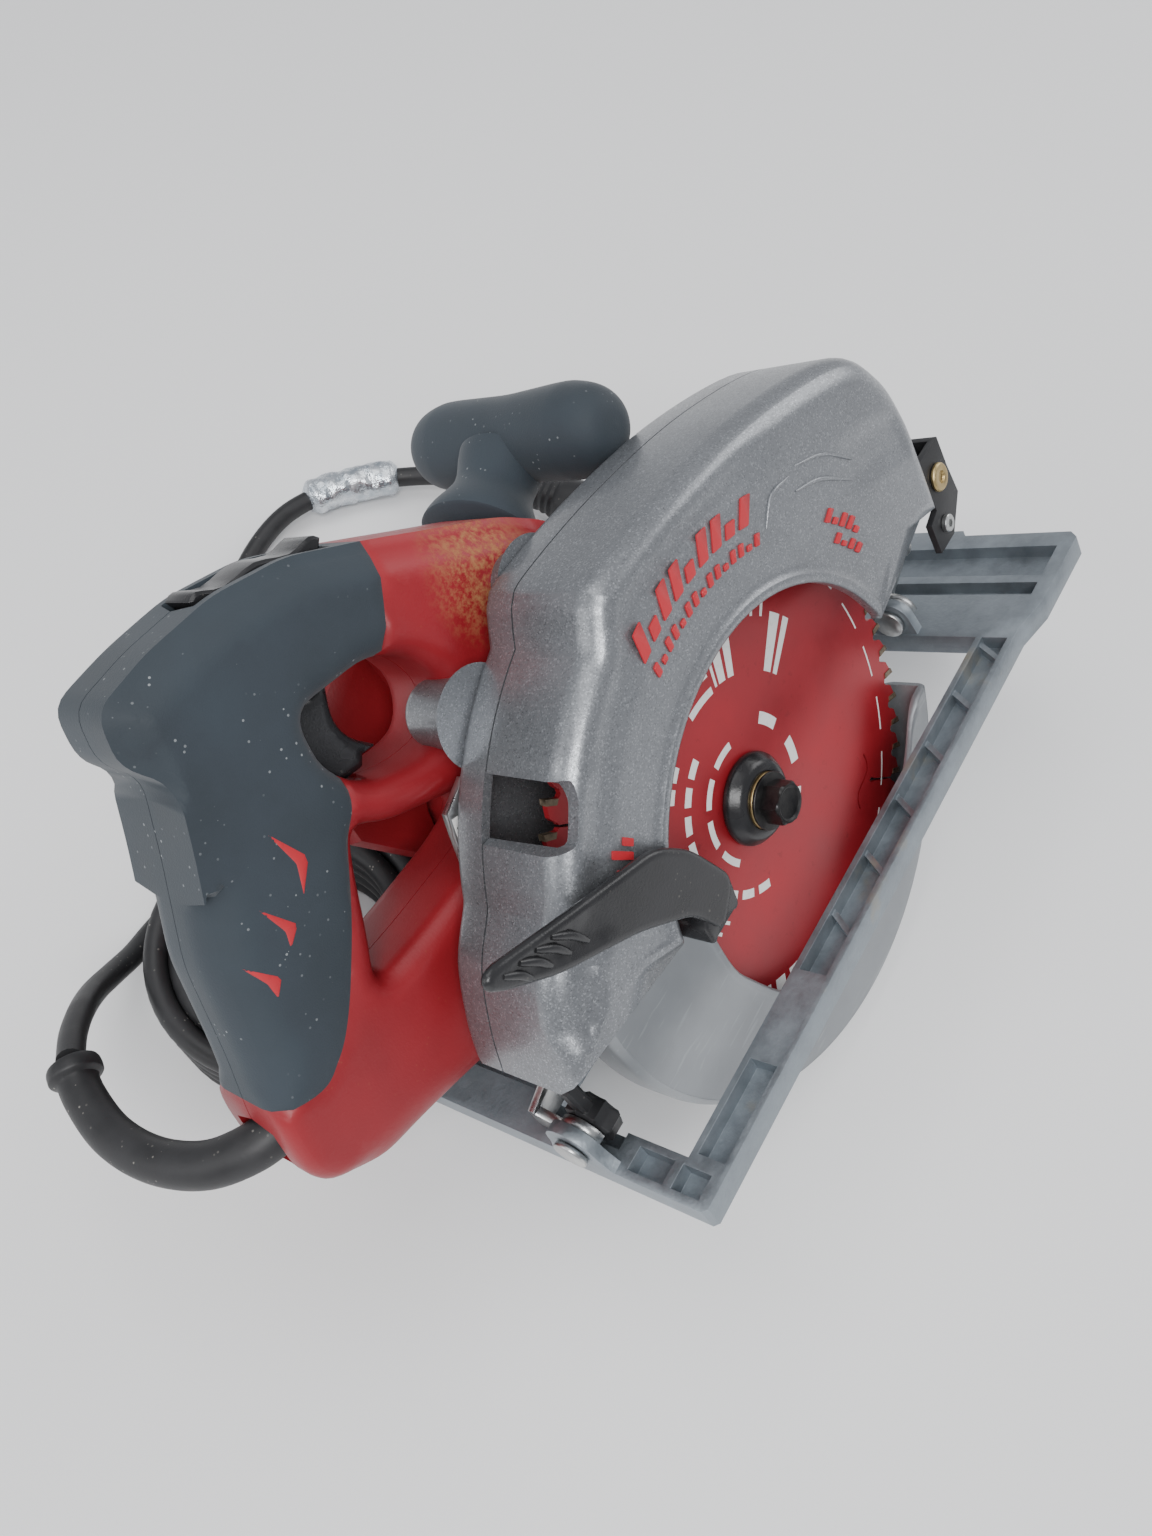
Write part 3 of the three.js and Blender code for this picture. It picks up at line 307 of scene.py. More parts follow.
def joined(*solids):
    points, faces, start = [], [], 0
    for p, f in solids:
        points.append(np.asarray(p, float))
        faces += [[i + start for i in face] for face in f]
        start += len(p)
    return np.vstack(points), faces


def net(rows, columns, close_rows=False, close_columns=False):
    """Quads of a rows x columns grid, wrapped round where asked."""
    r = np.arange(rows if close_rows else rows - 1)
    c = np.arange(columns if close_columns else columns - 1)
    rr, cc = [v.ravel() for v in np.meshgrid(r, c, indexing="ij")]
    up, on = (rr + 1) % rows, (cc + 1) % columns
    quads = np.stack([rr * columns + cc, rr * columns + on, up * columns + on, up * columns + cc], 1)
    return quads.tolist()


def turned(profile, centre=(0, 0), count=64, closed=False):
    """Profile [radius, y] carried round the Y line through centre: (r cos a, y, r sin a)."""
    p = np.asarray(profile, float)
    a = np.linspace(0, 2 * np.pi, count, endpoint=False)
    x = centre[0] + p[:, None, 0] * np.cos(a)
    z = centre[1] + p[:, None, 0] * np.sin(a)
    y = np.repeat(p[:, 1][:, None], count, 1)
    points = np.stack([x, y, z], 2).reshape(-1, 3)
    return points, net(len(p), count, close_rows=closed, close_columns=True)


def fillet_profile(profile, radius, steps=4, closed=False):
    """A lathe profile with its inner corners rounded off."""
    p = np.asarray(profile, float)
    if closed:
        return softened_corners(p, radius, steps)
    inner = softened_corners(p, radius, steps).reshape(len(p), steps + 1, 2)[1:-1]
    return np.vstack([p[:1], inner.reshape(-1, 2), p[-1:]])


def frames_along(path):
    """Unit side vectors carried along a path so that they never twist."""
    ahead = np.gradient(path, axis=0)
    ahead /= np.linalg.norm(ahead, axis=1, keepdims=True)
    side = np.cross(ahead[0], [0.3, 0.2, 1.0])
    sides = []
    for direction in ahead:
        side = side - direction * (side @ direction)
        side = side / np.linalg.norm(side)
        sides.append(side)
    sides = np.array(sides)
    return ahead, sides, np.cross(ahead, sides)


def swept(path, radii, count=24, capped=True):
    """A round section carried along a path: centre + r (side cos a + other sin a)."""
    path = np.asarray(path, float)
    radii = np.broadcast_to(radii, len(path))
    _, side, other = frames_along(path)
    a = np.linspace(0, 2 * np.pi, count, endpoint=False)
    circle = side[:, None] * np.cos(a)[:, None] + other[:, None] * np.sin(a)[:, None]
    points = (path[:, None] + circle * radii[:, None, None]).reshape(-1, 3)
    faces = net(len(path), count, close_columns=True)
    if capped:
        faces.append(list(range(count)))
        faces.append([(len(path) - 1) * count + i for i in range(count)])
    return points, faces


def tidy(mesh, merge=1e-6):
    work = bmesh.new()
    work.from_mesh(mesh)
    bmesh.ops.remove_doubles(work, verts=work.verts, dist=merge)
    bmesh.ops.dissolve_degenerate(work, edges=work.edges, dist=merge)
    bmesh.ops.recalc_face_normals(work, faces=work.faces)
    work.to_mesh(mesh)
    work.free()


def piece(name, shape, body, finish, stands_for=(), sharp=38, saw=True):
    """One object from points and faces, shaded smooth up to the sharp angle."""
    points, faces = shape
    mesh = bpy.data.meshes.new(name)
    mesh.from_pydata((in_frame(points) if saw else np.asarray(points)).tolist(), [], faces)
    tidy(mesh)
    mesh.polygons.foreach_set("use_smooth", [True] * len(mesh.polygons))
    mesh.set_sharp_from_angle(angle=math.radians(sharp))
    mesh.materials.append(finish)
    thing = bpy.data.objects.new(name, mesh)
    bpy.context.scene.collection.objects.link(thing)
    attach(thing, body)
    if stands_for:
        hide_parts(*stands_for)
    return thing


def softened(node, finish, width=None, steps=2):
    """A copy of a node with merged points, flat faces joined and its edges rounded a little."""
    source = frame["nodes"][node]
    mesh = source.data.copy()
    work = bmesh.new()
    work.from_mesh(mesh)
    bmesh.ops.remove_doubles(work, verts=work.verts, dist=2e-6)
    bmesh.ops.dissolve_limit(work, angle_limit=math.radians(1.2), verts=work.verts, edges=work.edges)
    work.to_mesh(mesh)
    work.free()
    mesh.polygons.foreach_set("use_smooth", [True] * len(mesh.polygons))
    mesh.materials.clear()
    mesh.materials.append(finish)
    thing = bpy.data.objects.new(node + "_fine", mesh)
    bpy.context.scene.collection.objects.link(thing)
    bevel = thing.modifiers.new("edge break", "BEVEL")
    bevel.width = width or sizes().edge_break
    bevel.segments = steps
    bevel.limit_method = "ANGLE"
    bevel.angle_limit = math.radians(28)
    bevel.harden_normals = True
    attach(thing, source["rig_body"])
    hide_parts(node)
    return thing


def paint_node(node, finish):
    """A node whose own mesh stays in view gets a finish."""
    mesh = frame["nodes"][node].data
    mesh.materials.clear()
    mesh.materials.append(finish)


# ---- Finishes ----
class Nodes:
    """A small helper that adds and joins shader nodes."""

    def __init__(self, tree):
        self.tree = tree

    def link(self, source, target):
        self.tree.links.new(source, target)

    def noise(self, where, scale, detail=3.0, rough=0.6):
        node = self.tree.nodes.new("ShaderNodeTexNoise")
        node.inputs["Scale"].default_value = scale
        node.inputs["Detail"].default_value = detail
        node.inputs["Roughness"].default_value = rough
        self.link(where, node.inputs["Vector"])
        return node.outputs["Fac"]

    def ramp(self, value, low, high, out_low=0.0, out_high=1.0):
        node = self.tree.nodes.new("ShaderNodeMapRange")
        node.inputs["From Min"].default_value = low
        node.inputs["From Max"].default_value = high
        node.inputs["To Min"].default_value = out_low
        node.inputs["To Max"].default_value = out_high
        self.link(value, node.inputs["Value"])
        return node.outputs["Result"]

    def blend(self, factor, first, second):
        node = self.tree.nodes.new("ShaderNodeMix")
        node.data_type = "RGBA"
        colours = [s for s in node.inputs if s.type == "RGBA"]
        for socket, value in zip(colours, (first, second)):
            if isinstance(value, tuple):
                socket.default_value = value
            else:
                self.link(value, socket)
        self.link(factor, node.inputs["Factor"])
        return next(s for s in node.outputs if s.type == "RGBA")

    def maths(self, operation, first, second):
        node = self.tree.nodes.new("ShaderNodeMath")
        node.operation = operation
        for i, value in enumerate((first, second)):
            if isinstance(value, (int, float)):
                node.inputs[i].default_value = value
            else:
                self.link(value, node.inputs[i])
        return node.outputs[0]


def new_group(name, inputs, outputs):
    group = bpy.data.node_groups.new(name, "ShaderNodeTree")
    for label, kind, value in inputs:
        socket = group.interface.new_socket(label, in_out="INPUT", socket_type=kind)
        if value is not None:
            socket.default_value = value
    for label, kind in outputs:
        group.interface.new_socket(label, in_out="OUTPUT", socket_type=kind)
    start = group.nodes.new("NodeGroupInput")
    end = group.nodes.new("NodeGroupOutput")
    return group, start, end


def fine_grain_group():
    """Moulded or cast grain: a normal from two noises, fine and coarse, and a mask from the fine one."""
    name = "fine grain"
    if name in bpy.data.node_groups:
        return bpy.data.node_groups[name]
    group, start, end = new_group(
        name,
        [("Scale", "NodeSocketFloat", 900.0), ("Depth", "NodeSocketFloat", 0.2),
         ("Waves", "NodeSocketFloat", 0.0)],
        [("Normal", "NodeSocketVector"), ("Mask", "NodeSocketFloat")])
    n = Nodes(group)
    where = group.nodes.new("ShaderNodeTexCoord").outputs["Object"]
    fine = group.nodes.new("ShaderNodeTexNoise")
    fine.inputs["Detail"].default_value = 4
    n.link(where, fine.inputs["Vector"])
    n.link(start.outputs["Scale"], fine.inputs["Scale"])
    coarse = n.noise(where, 55.0, 2.0)
    raised = n.maths("ADD", fine.outputs["Fac"], n.maths("MULTIPLY", coarse, start.outputs["Waves"]))
    bump = group.nodes.new("ShaderNodeBump")
    bump.inputs["Distance"].default_value = 0.0004
    n.link(raised, bump.inputs["Height"])
    n.link(start.outputs["Depth"], bump.inputs["Strength"])
    n.link(bump.outputs["Normal"], end.inputs["Normal"])
    n.link(fine.outputs["Fac"], end.inputs["Mask"])
    return group


def dust_group():
    """Wood dust: a mask that is strong round one place and broken up by noise, plus specks."""
    name = "wood dust"
    if name in bpy.data.node_groups:
        return bpy.data.node_groups[name]
    group, start, end = new_group(
        name,
        [("Place", "NodeSocketVector", None), ("Reach", "NodeSocketFloat", 0.03),
         ("Everywhere", "NodeSocketFloat", 0.0)],
        [("Mask", "NodeSocketFloat")])
    n = Nodes(group)
    where = group.nodes.new("ShaderNodeTexCoord").outputs["Object"]
    far = group.nodes.new("ShaderNodeVectorMath")
    far.operation = "DISTANCE"
    n.link(where, far.inputs[0])
    n.link(start.outputs["Place"], far.inputs[1])
    near = n.maths("SUBTRACT", 1.0, n.maths("DIVIDE", far.outputs["Value"], start.outputs["Reach"]))
    broken = n.ramp(n.noise(where, 420.0, 5.0, 0.75), 0.42, 0.62)
    heap = n.maths("MULTIPLY", n.ramp(near, 0.0, 0.55), broken)
    specks = group.nodes.new("ShaderNodeTexVoronoi")
    specks.inputs["Scale"].default_value = 380.0
    n.link(where, specks.inputs["Vector"])
    small = n.maths("LESS_THAN", specks.outputs["Distance"], 0.13)
    rare = n.ramp(n.noise(where, 60.0, 2.0), 0.5, 0.66)
    thin = n.maths("MULTIPLY", n.maths("MULTIPLY", small, rare), start.outputs["Everywhere"])
    both = n.maths("MAXIMUM", heap, thin)
    n.link(both, end.inputs["Mask"])
    return group


def finish_base(name, roughness, metallic, specular=0.5):
    """A material with its one shader, and the nodes' helper."""
    material = bpy.data.materials.new(name)
    material.use_nodes = True
    tree = material.node_tree
    shader = next(n for n in tree.nodes if n.type == "BSDF_PRINCIPLED")
    shader.inputs["Roughness"].default_value = roughness
    shader.inputs["Metallic"].default_value = metallic
    shader.inputs["Specular IOR Level"].default_value = specular
    return material, Nodes(tree), shader


def object_place(nodes):
    return nodes.tree.nodes.new("ShaderNodeTexCoord").outputs["Object"]


def add_grain(nodes, shader, scale, depth, waves=0.0):
    group = nodes.tree.nodes.new("ShaderNodeGroup")
    group.node_tree = fine_grain_group()
    group.inputs["Scale"].default_value = scale
    group.inputs["Depth"].default_value = depth
    group.inputs["Waves"].default_value = waves
    nodes.link(group.outputs["Normal"], shader.inputs["Normal"])
    return group.outputs["Mask"]


def add_dust(nodes, place=(0, 0, 0), reach=0.001, everywhere=0.0):
    group = nodes.tree.nodes.new("ShaderNodeGroup")
    group.node_tree = dust_group()
    group.inputs["Place"].default_value = place
    group.inputs["Reach"].default_value = reach
    group.inputs["Everywhere"].default_value = everywhere
    return group.outputs["Mask"]


def shade(colour, factor):
    return (colour[0] * factor, colour[1] * factor, colour[2] * factor, 1.0)


def cached(maker):
    """Each finish is made once and shared by the pieces that carry it."""
    made = {}

    def get(*given):
        if given not in made:
            made[given] = maker(*given)
        return made[given]
    return get


@cached
def silver_paint():
    material, n, shader = finish_base("silver sparkle paint", 0.36, 0.72)
    where = object_place(n)
    colour = finishes().silver
    flakes = n.tree.nodes.new("ShaderNodeTexVoronoi")
    flakes.inputs["Scale"].default_value = 2600.0
    n.link(where, flakes.inputs["Vector"])
    split = n.tree.nodes.new("ShaderNodeSeparateColor")
    n.link(flakes.outputs["Color"], split.inputs["Color"])
    cloud = n.noise(where, 14.0, 3.0)
    plain = n.blend(n.ramp(cloud, 0.35, 0.7), shade(colour, 0.86), shade(colour, 1.08))
    bright = n.ramp(split.outputs["Red"], 0.80, 1.0, 0.0, 0.65)
    shown = n.blend(bright, plain, shade(colour, 1.9))
    dark = n.ramp(split.outputs["Green"], 0.82, 1.0, 0.0, 0.5)
    n.link(n.blend(dark, shown, shade(colour, 0.45)), shader.inputs["Base Color"])
    n.link(n.ramp(split.outputs["Blue"], 0.0, 1.0, 0.27, 0.47), shader.inputs["Roughness"])
    add_grain(n, shader, 1500.0, 0.10, 0.25)
    shader.inputs["Coat Weight"].default_value = 0.25
    shader.inputs["Coat Roughness"].default_value = 0.12
    return material


@cached
def grey_paint():
    material, n, shader = finish_base("smooth grey paint", 0.42, 0.55)
    where = object_place(n)
    colour = finishes().grey
    cloud = n.noise(where, 22.0, 4.0)
    scratch = n.tree.nodes.new("ShaderNodeTexNoise")
    stretch = n.tree.nodes.new("ShaderNodeMapping")
    stretch.inputs["Scale"].default_value = (40.0, 700.0, 500.0)
    n.link(where, stretch.inputs["Vector"])
    n.link(stretch.outputs["Vector"], scratch.inputs["Vector"])
    scratch.inputs["Scale"].default_value = 1.0
    lines = n.ramp(scratch.outputs["Fac"], 0.62, 0.72, 0.0, 0.4)
    plain = n.blend(n.ramp(cloud, 0.3, 0.7), shade(colour, 0.85), shade(colour, 1.1))
    n.link(n.blend(lines, plain, shade(colour, 1.5)), shader.inputs["Base Color"])
    n.link(n.ramp(cloud, 0.3, 0.7, 0.36, 0.5), shader.inputs["Roughness"])
    add_grain(n, shader, 1100.0, 0.08, 0.3)
    return material


@cached
def cast_magnesium():
    material, n, shader = finish_base("cast light alloy", 0.45, 0.78)
    where = object_place(n)
    colour = finishes().magnesium
    cloud = n.noise(where, 60.0, 6.0, 0.7)
    plain = n.blend(n.ramp(cloud, 0.3, 0.7), shade(colour, 0.72), shade(colour, 1.15))
    stain = n.ramp(n.noise(where, 34.0, 4.0), 0.60, 0.72, 0.0, 0.55)
    dusty = n.blend(stain, plain, (0.42, 0.36, 0.24, 1))
    n.link(dusty, shader.inputs["Base Color"])
    n.link(n.ramp(cloud, 0.3, 0.7, 0.34, 0.6), shader.inputs["Roughness"])
    add_grain(n, shader, 750.0, 0.35, 1.0)
    return material


@cached
def red_plastic(dusty=False):
    material, n, shader = finish_base("red moulded plastic" + (" dusty" if dusty else ""), 0.42, 0.0)
    where = object_place(n)
    colour = finishes().red
    cloud = n.noise(where, 20.0, 3.0)
    plain = n.blend(n.ramp(cloud, 0.3, 0.7), shade(colour, 0.85), shade(colour, 1.18))
    place = tuple(in_frame([[-16, 30, 112]])[0])
    dust = add_dust(n, place, 0.024 if dusty else 0.0005, 0.16)
    n.link(n.blend(dust, plain, (0.36, 0.15, 0.06, 1)), shader.inputs["Base Color"])
    rough = n.maths("ADD", n.ramp(cloud, 0.3, 0.7, 0.36, 0.48), n.maths("MULTIPLY", dust, 0.4))
    n.link(rough, shader.inputs["Roughness"])
    add_grain(n, shader, 1300.0, 0.16, 0.2)
    return material


@cached
def grip_rubber():
    material, n, shader = finish_base("grip rubber", 0.72, 0.0, 0.35)
    where = object_place(n)
    colour = finishes().rubber
    cloud = n.noise(where, 26.0, 4.0)
    plain = n.blend(n.ramp(cloud, 0.3, 0.7), shade(colour, 0.86), shade(colour, 1.22))
    dust = add_dust(n, everywhere=0.8)
    n.link(n.blend(dust, plain, (0.30, 0.32, 0.33, 1)), shader.inputs["Base Color"])
    n.link(n.ramp(cloud, 0.3, 0.7, 0.62, 0.8), shader.inputs["Roughness"])
    add_grain(n, shader, 1800.0, 0.22, 0.15)
    shader.inputs["Sheen Weight"].default_value = 0.12
    return material


@cached
def black_plastic(gloss=False):
    name = "black plastic" + (" polished" if gloss else "")
    material, n, shader = finish_base(name, 0.28 if gloss else 0.5, 0.0)
    where = object_place(n)
    cloud = n.noise(where, 40.0, 3.0)
    plain = n.blend(n.ramp(cloud, 0.3, 0.7), (0.010, 0.010, 0.011, 1), (0.022, 0.022, 0.024, 1))
    dust = add_dust(n, everywhere=0.5)
    n.link(n.blend(dust, plain, (0.16, 0.15, 0.13, 1)), shader.inputs["Base Color"])
    low, high = (0.22, 0.34) if gloss else (0.42, 0.58)
    n.link(n.ramp(cloud, 0.3, 0.7, low, high), shader.inputs["Roughness"])
    add_grain(n, shader, 1400.0, 0.14, 0.1)
    return material


@cached
def cord_sheath():
    material, n, shader = finish_base("cord sheath", 0.55, 0.0)
    where = object_place(n)
    cloud = n.noise(where, 70.0, 3.0)
    plain = n.blend(n.ramp(cloud, 0.3, 0.7), (0.012, 0.012, 0.013, 1), (0.026, 0.026, 0.028, 1))
    dust = add_dust(n, everywhere=1.0)
    n.link(n.blend(dust, plain, (0.20, 0.19, 0.17, 1)), shader.inputs["Base Color"])
    n.link(n.ramp(cloud, 0.3, 0.7, 0.42, 0.6), shader.inputs["Roughness"])
    add_grain(n, shader, 1000.0, 0.12, 0.2)
    return material


@cached
def bright_steel():
    material, n, shader = finish_base("zinc plated steel", 0.3, 1.0)
    where = object_place(n)
    cloud = n.noise(where, 120.0, 5.0)
    n.link(n.blend(n.ramp(cloud, 0.3, 0.7), (0.40, 0.41, 0.42, 1), (0.62, 0.62, 0.60, 1)),
           shader.inputs["Base Color"])
    n.link(n.ramp(cloud, 0.3, 0.7, 0.24, 0.42), shader.inputs["Roughness"])
    add_grain(n, shader, 2000.0, 0.08)
    return material


@cached
def black_steel():
    material, n, shader = finish_base("blackened steel", 0.38, 0.85)
    where = object_place(n)
    cloud = n.noise(where, 160.0, 5.0)
    n.link(n.blend(n.ramp(cloud, 0.35, 0.7), (0.022, 0.022, 0.024, 1), (0.07, 0.068, 0.066, 1)),
           shader.inputs["Base Color"])
    n.link(n.ramp(cloud, 0.3, 0.7, 0.3, 0.5), shader.inputs["Roughness"])
    add_grain(n, shader, 1500.0, 0.12)
    return material


@cached
def dull_brass():
    material, n, shader = finish_base("dull brass", 0.36, 1.0)
    where = object_place(n)
    cloud = n.noise(where, 200.0, 5.0)
    n.link(n.blend(n.ramp(cloud, 0.3, 0.7), (0.34, 0.24, 0.10, 1), (0.60, 0.47, 0.24, 1)),
           shader.inputs["Base Color"])
    n.link(n.ramp(cloud, 0.3, 0.7, 0.28, 0.48), shader.inputs["Roughness"])
    add_grain(n, shader, 1500.0, 0.1)
    return material


@cached
def copper_winding():
    material, n, shader = finish_base("varnished copper", 0.35, 0.9)
    where = object_place(n)
    strands = n.noise(where, 900.0, 2.0)
    n.link(n.blend(n.ramp(strands, 0.35, 0.65), (0.16, 0.06, 0.03, 1), (0.50, 0.22, 0.10, 1)),
           shader.inputs["Base Color"])
    n.link(n.ramp(strands, 0.3, 0.7, 0.28, 0.5), shader.inputs["Roughness"])
    add_grain(n, shader, 900.0, 0.3)
    return material


@cached
def blade_coating():
    material, n, shader = finish_base("red blade coating", 0.34, 0.25)
    where = object_place(n)
    colour = finishes().blade
    cloud = n.noise(where, 30.0, 5.0)
    plain = n.blend(n.ramp(cloud, 0.3, 0.7), shade(colour, 0.82), shade(colour, 1.15))
    pitch = n.ramp(n.noise(where, 240.0, 4.0, 0.75), 0.60, 0.74, 0.0, 0.5)
    n.link(n.blend(pitch, plain, shade(colour, 0.4)), shader.inputs["Base Color"])
    n.link(n.ramp(cloud, 0.3, 0.7, 0.27, 0.42), shader.inputs["Roughness"])
    add_grain(n, shader, 1300.0, 0.06)
    return material


@cached
def carbide():
    material, n, shader = finish_base("carbide tip", 0.45, 0.7)
    where = object_place(n)
    cloud = n.noise(where, 500.0, 4.0)
    n.link(n.blend(n.ramp(cloud, 0.3, 0.7), (0.10, 0.075, 0.05, 1), (0.30, 0.24, 0.17, 1)),
           shader.inputs["Base Color"])
    n.link(n.ramp(cloud, 0.3, 0.7, 0.35, 0.6), shader.inputs["Roughness"])
    return material


@cached
def print_ink(tone):
    """Printed or painted marks: white, red or black, a little worn."""
    colours = {"white": (0.80, 0.80, 0.78), "red": (0.50, 0.02, 0.03), "black": (0.02, 0.02, 0.02)}
    material, n, shader = finish_base(tone + " print", 0.5, 0.0)
    where = object_place(n)
    worn = n.ramp(n.noise(where, 300.0, 5.0, 0.7), 0.55, 0.75, 0.0, 0.5)
    n.link(n.blend(worn, shade(colours[tone], 1.0), shade(colours[tone], 0.55)),
           shader.inputs["Base Color"])
    n.link(n.ramp(n.noise(where, 90.0), 0.3, 0.7, 0.4, 0.6), shader.inputs["Roughness"])
    return material


@cached
def silver_tape():
    material, n, shader = finish_base("metallised tape", 0.22, 0.85)
    where = object_place(n)
    folds_and_painted_shading = n.noise(where, 150.0, 4.0, 0.7)
    # The base colour follows the fold height: painted shade in the creases and painted highlight on the
    # ridges, over a bump from the same noise.
    n.link(n.blend(n.ramp(folds_and_painted_shading, 0.35, 0.65), (0.42, 0.47, 0.52, 1), (0.78, 0.81, 0.84, 1)),
           shader.inputs["Base Color"])
    n.link(n.ramp(folds_and_painted_shading, 0.3, 0.7, 0.14, 0.36), shader.inputs["Roughness"])
    bump = n.tree.nodes.new("ShaderNodeBump")
    bump.inputs["Distance"].default_value = 0.0012
    bump.inputs["Strength"].default_value = 0.8
    n.link(folds_and_painted_shading, bump.inputs["Height"])
    n.link(bump.outputs["Normal"], shader.inputs["Normal"])
    return material


@cached
def floor_paint():
    material, n, shader = finish_base("pale floor", 0.85, 0.0, 0.2)
    where = object_place(n)
    n.link(n.blend(n.noise(where, 3.0), (0.86, 0.86, 0.86, 1), (0.90, 0.90, 0.90, 1)),
           shader.inputs["Base Color"])
    return material


# ---- Stage: camera, light and floor ----
CAMERA_PLACE = (-191.85, -233.49, 255.92)  # in saw millimetres
CAMERA_RIGHT = (0.52217, -0.70989, -0.47264)
CAMERA_DOWN = (-0.73443, -0.09257, -0.67235)
CAMERA_LENS = 28.59


def in_frame_direction(v):
    return Vector(v[0] * FORWARD + v[1] * ACROSS + v[2] * UP).normalized()


def lamp(name, place, aim, size, power):
    light = bpy.data.lights.new(name, "AREA")
    light.shape = "SQUARE"
    light.size = size
    light.energy = power
    thing = bpy.data.objects.new(name, light)
    thing.location = place
    thing.rotation_euler = (Vector(aim) - Vector(place)).to_track_quat("-Z", "Y").to_euler()
    bpy.context.scene.collection.objects.link(thing)


class SAW_OT_stage(bpy.types.Operator):
    """Camera, floor and soft light"""
    bl_idname = "saw.stage"
    bl_label = "Stage"

    def execute(self, context):
        camera = bpy.data.cameras.new("camera")
        camera.lens = CAMERA_LENS
        camera.sensor_width = 36
        camera.sensor_fit = "AUTO"
        camera.clip_start = 0.01
        right, up = in_frame_direction(CAMERA_RIGHT), -in_frame_direction(CAMERA_DOWN)
        back = right.cross(up)
        thing = bpy.data.objects.new("camera", camera)
        turn = Matrix((right, up, back)).transposed().to_4x4()
        thing.matrix_world = Matrix.Translation(Vector(in_frame([CAMERA_PLACE])[0])) @ turn
        context.scene.collection.objects.link(thing)
        context.scene.camera = thing
        reach = 3.0
        floor = bpy.data.meshes.new("floor")
        floor.from_pydata([(-reach, -reach, 0), (reach, -reach, 0), (reach, reach, 0),
                           (-reach, reach, 0)], [], [(0, 1, 2, 3)])
        floor.materials.append(floor_paint())
        ground = bpy.data.objects.new("floor", floor)
        context.scene.collection.objects.link(ground)
        lamp("key", (-0.75, -0.55, 1.5), (0, 0, 0.08), 0.8, 21)
        lamp("fill", (-1.3, 0.7, 0.9), (0, 0, 0.1), 1.0, 6)
        lamp("front", (1.3, -0.5, 0.8), (0, 0, 0.1), 0.8, 6)
        lamp("top", (0.1, 0.5, 1.8), (0, 0, 0.1), 1.2, 9)
        world = context.scene.world or bpy.data.worlds.new("world")
        context.scene.world = world
        world.use_nodes = True
        ground_light = world.node_tree.nodes["Background"]
        ground_light.inputs["Color"].default_value = (0.93, 0.95, 1.0, 1)
        ground_light.inputs["Strength"].default_value = 0.55
        return {"FINISHED"}


# ---- Cord ----
# The route in metres, with the floor at height 0, before the whole is moved by the assembly's shift.
LEAD_LINE = ((-0.177, 0.133, 0.0664), (-0.170, 0.143, 0.057), (-0.162, 0.152, 0.046),
             (-0.154, 0.1595, 0.034), (-0.145, 0.165, 0.022), (-0.134, 0.169, 0.012),
             (-0.123, 0.172, 0.0065), (-0.112, 0.1727, 0.0046), (-0.101, 0.1727, 0.0045))
TAIL_LINE = ((-0.092, 0.172, 0.025), (-0.075, 0.171, 0.020), (-0.056, 0.175, 0.013),
             (-0.038, 0.187, 0.007), (-0.025, 0.203, 0.0045), (-0.014, 0.221, 0.0045),
             (0.001, 0.239, 0.0045), (0.020, 0.250, 0.005), (0.040, 0.255, 0.0075),
             (0.060, 0.255, 0.0094), (0.078, 0.249, 0.0094), (0.095, 0.237, 0.0094),
             (0.109, 0.221, 0.0094), (0.119, 0.203, 0.011), (0.125, 0.186, 0.014),
             (0.128, 0.171, 0.0144))
COIL_CENTRE = (-0.103, 0.1168)
COIL_MIDDLE = 0.0425
COIL_HIGH = 4
BOOT_LINE = ((-150, 45, 39), (-160, 45.5, 39.6), (-170, 49, 40.6), (-180, 59, 42.4),
             (-186, 75, 45.6), (-187, 92, 50.5), (-183, 107, 56.6), (-177.6, 116.4, 61.6))
BOOT_RADIUS = 6.9


def shifted(points):
    """The assembly stands over its arbor, so a floor point moves by the arbor's place."""
    p = np.asarray(points, float)
    return p + np.array([ARBOR[0], ARBOR[1], 0.0])


def smooth_path(points, per_stretch=6):
    """Catmull-Rom through points in space."""
    p = np.asarray(points, float)
    flat = curve_through(p[:, :2], (len(p) - 1) * per_stretch + 1)
    ends = np.column_stack([p[:, 2], p[:, 2]])
    high = curve_through(ends, (len(p) - 1) * per_stretch + 1)
    return np.column_stack([flat, high[:, 0]])


def coil_path(diameter):
    """Turn after turn, clockwise from the lead: radius and height step by one diameter."""
    out, inn = COIL_MIDDLE + diameter / 2, COIL_MIDDLE - diameter / 2
    level = [diameter * (k + 0.5) for k in range(COIL_HIGH)]
    stations = [(out, level[0]), (inn, level[0]), (inn, level[1]), (out, level[1]),
                (out, level[2]), (inn, level[2]), (inn, level[3]), (out, level[3])]
    lead_in = np.linalg.norm(np.array(LEAD_LINE[-1][:2]) - COIL_CENTRE)
    stations = [(lead_in, LEAD_LINE[-1][2])] + stations
    rows = []
    for (r0, z0), (r1, z1) in zip(stations[:-1], stations[1:]):
        t = np.linspace(0, 1, 60, endpoint=False)
        move = ease(t, 0.02, 0.24)
        rows.append(np.column_stack([r0 + (r1 - r0) * move, z0 + (z1 - z0) * move]))
    rows = np.vstack(rows)
    turn = np.arange(len(rows)) / 60 * 2 * np.pi
    start = math.atan2(LEAD_LINE[-1][1] - COIL_CENTRE[1], LEAD_LINE[-1][0] - COIL_CENTRE[0])
    angle = start - turn
    return np.column_stack([COIL_CENTRE[0] + rows[:, 0] * np.cos(angle),
                            COIL_CENTRE[1] + rows[:, 0] * np.sin(angle), rows[:, 1]])


def cord_route():
    lead = smooth_path(LEAD_LINE)
    tail = smooth_path(TAIL_LINE)
    coil = coil_path(sizes().cord_diameter)
    return shifted(np.vstack([lead[:-1], coil, tail]))


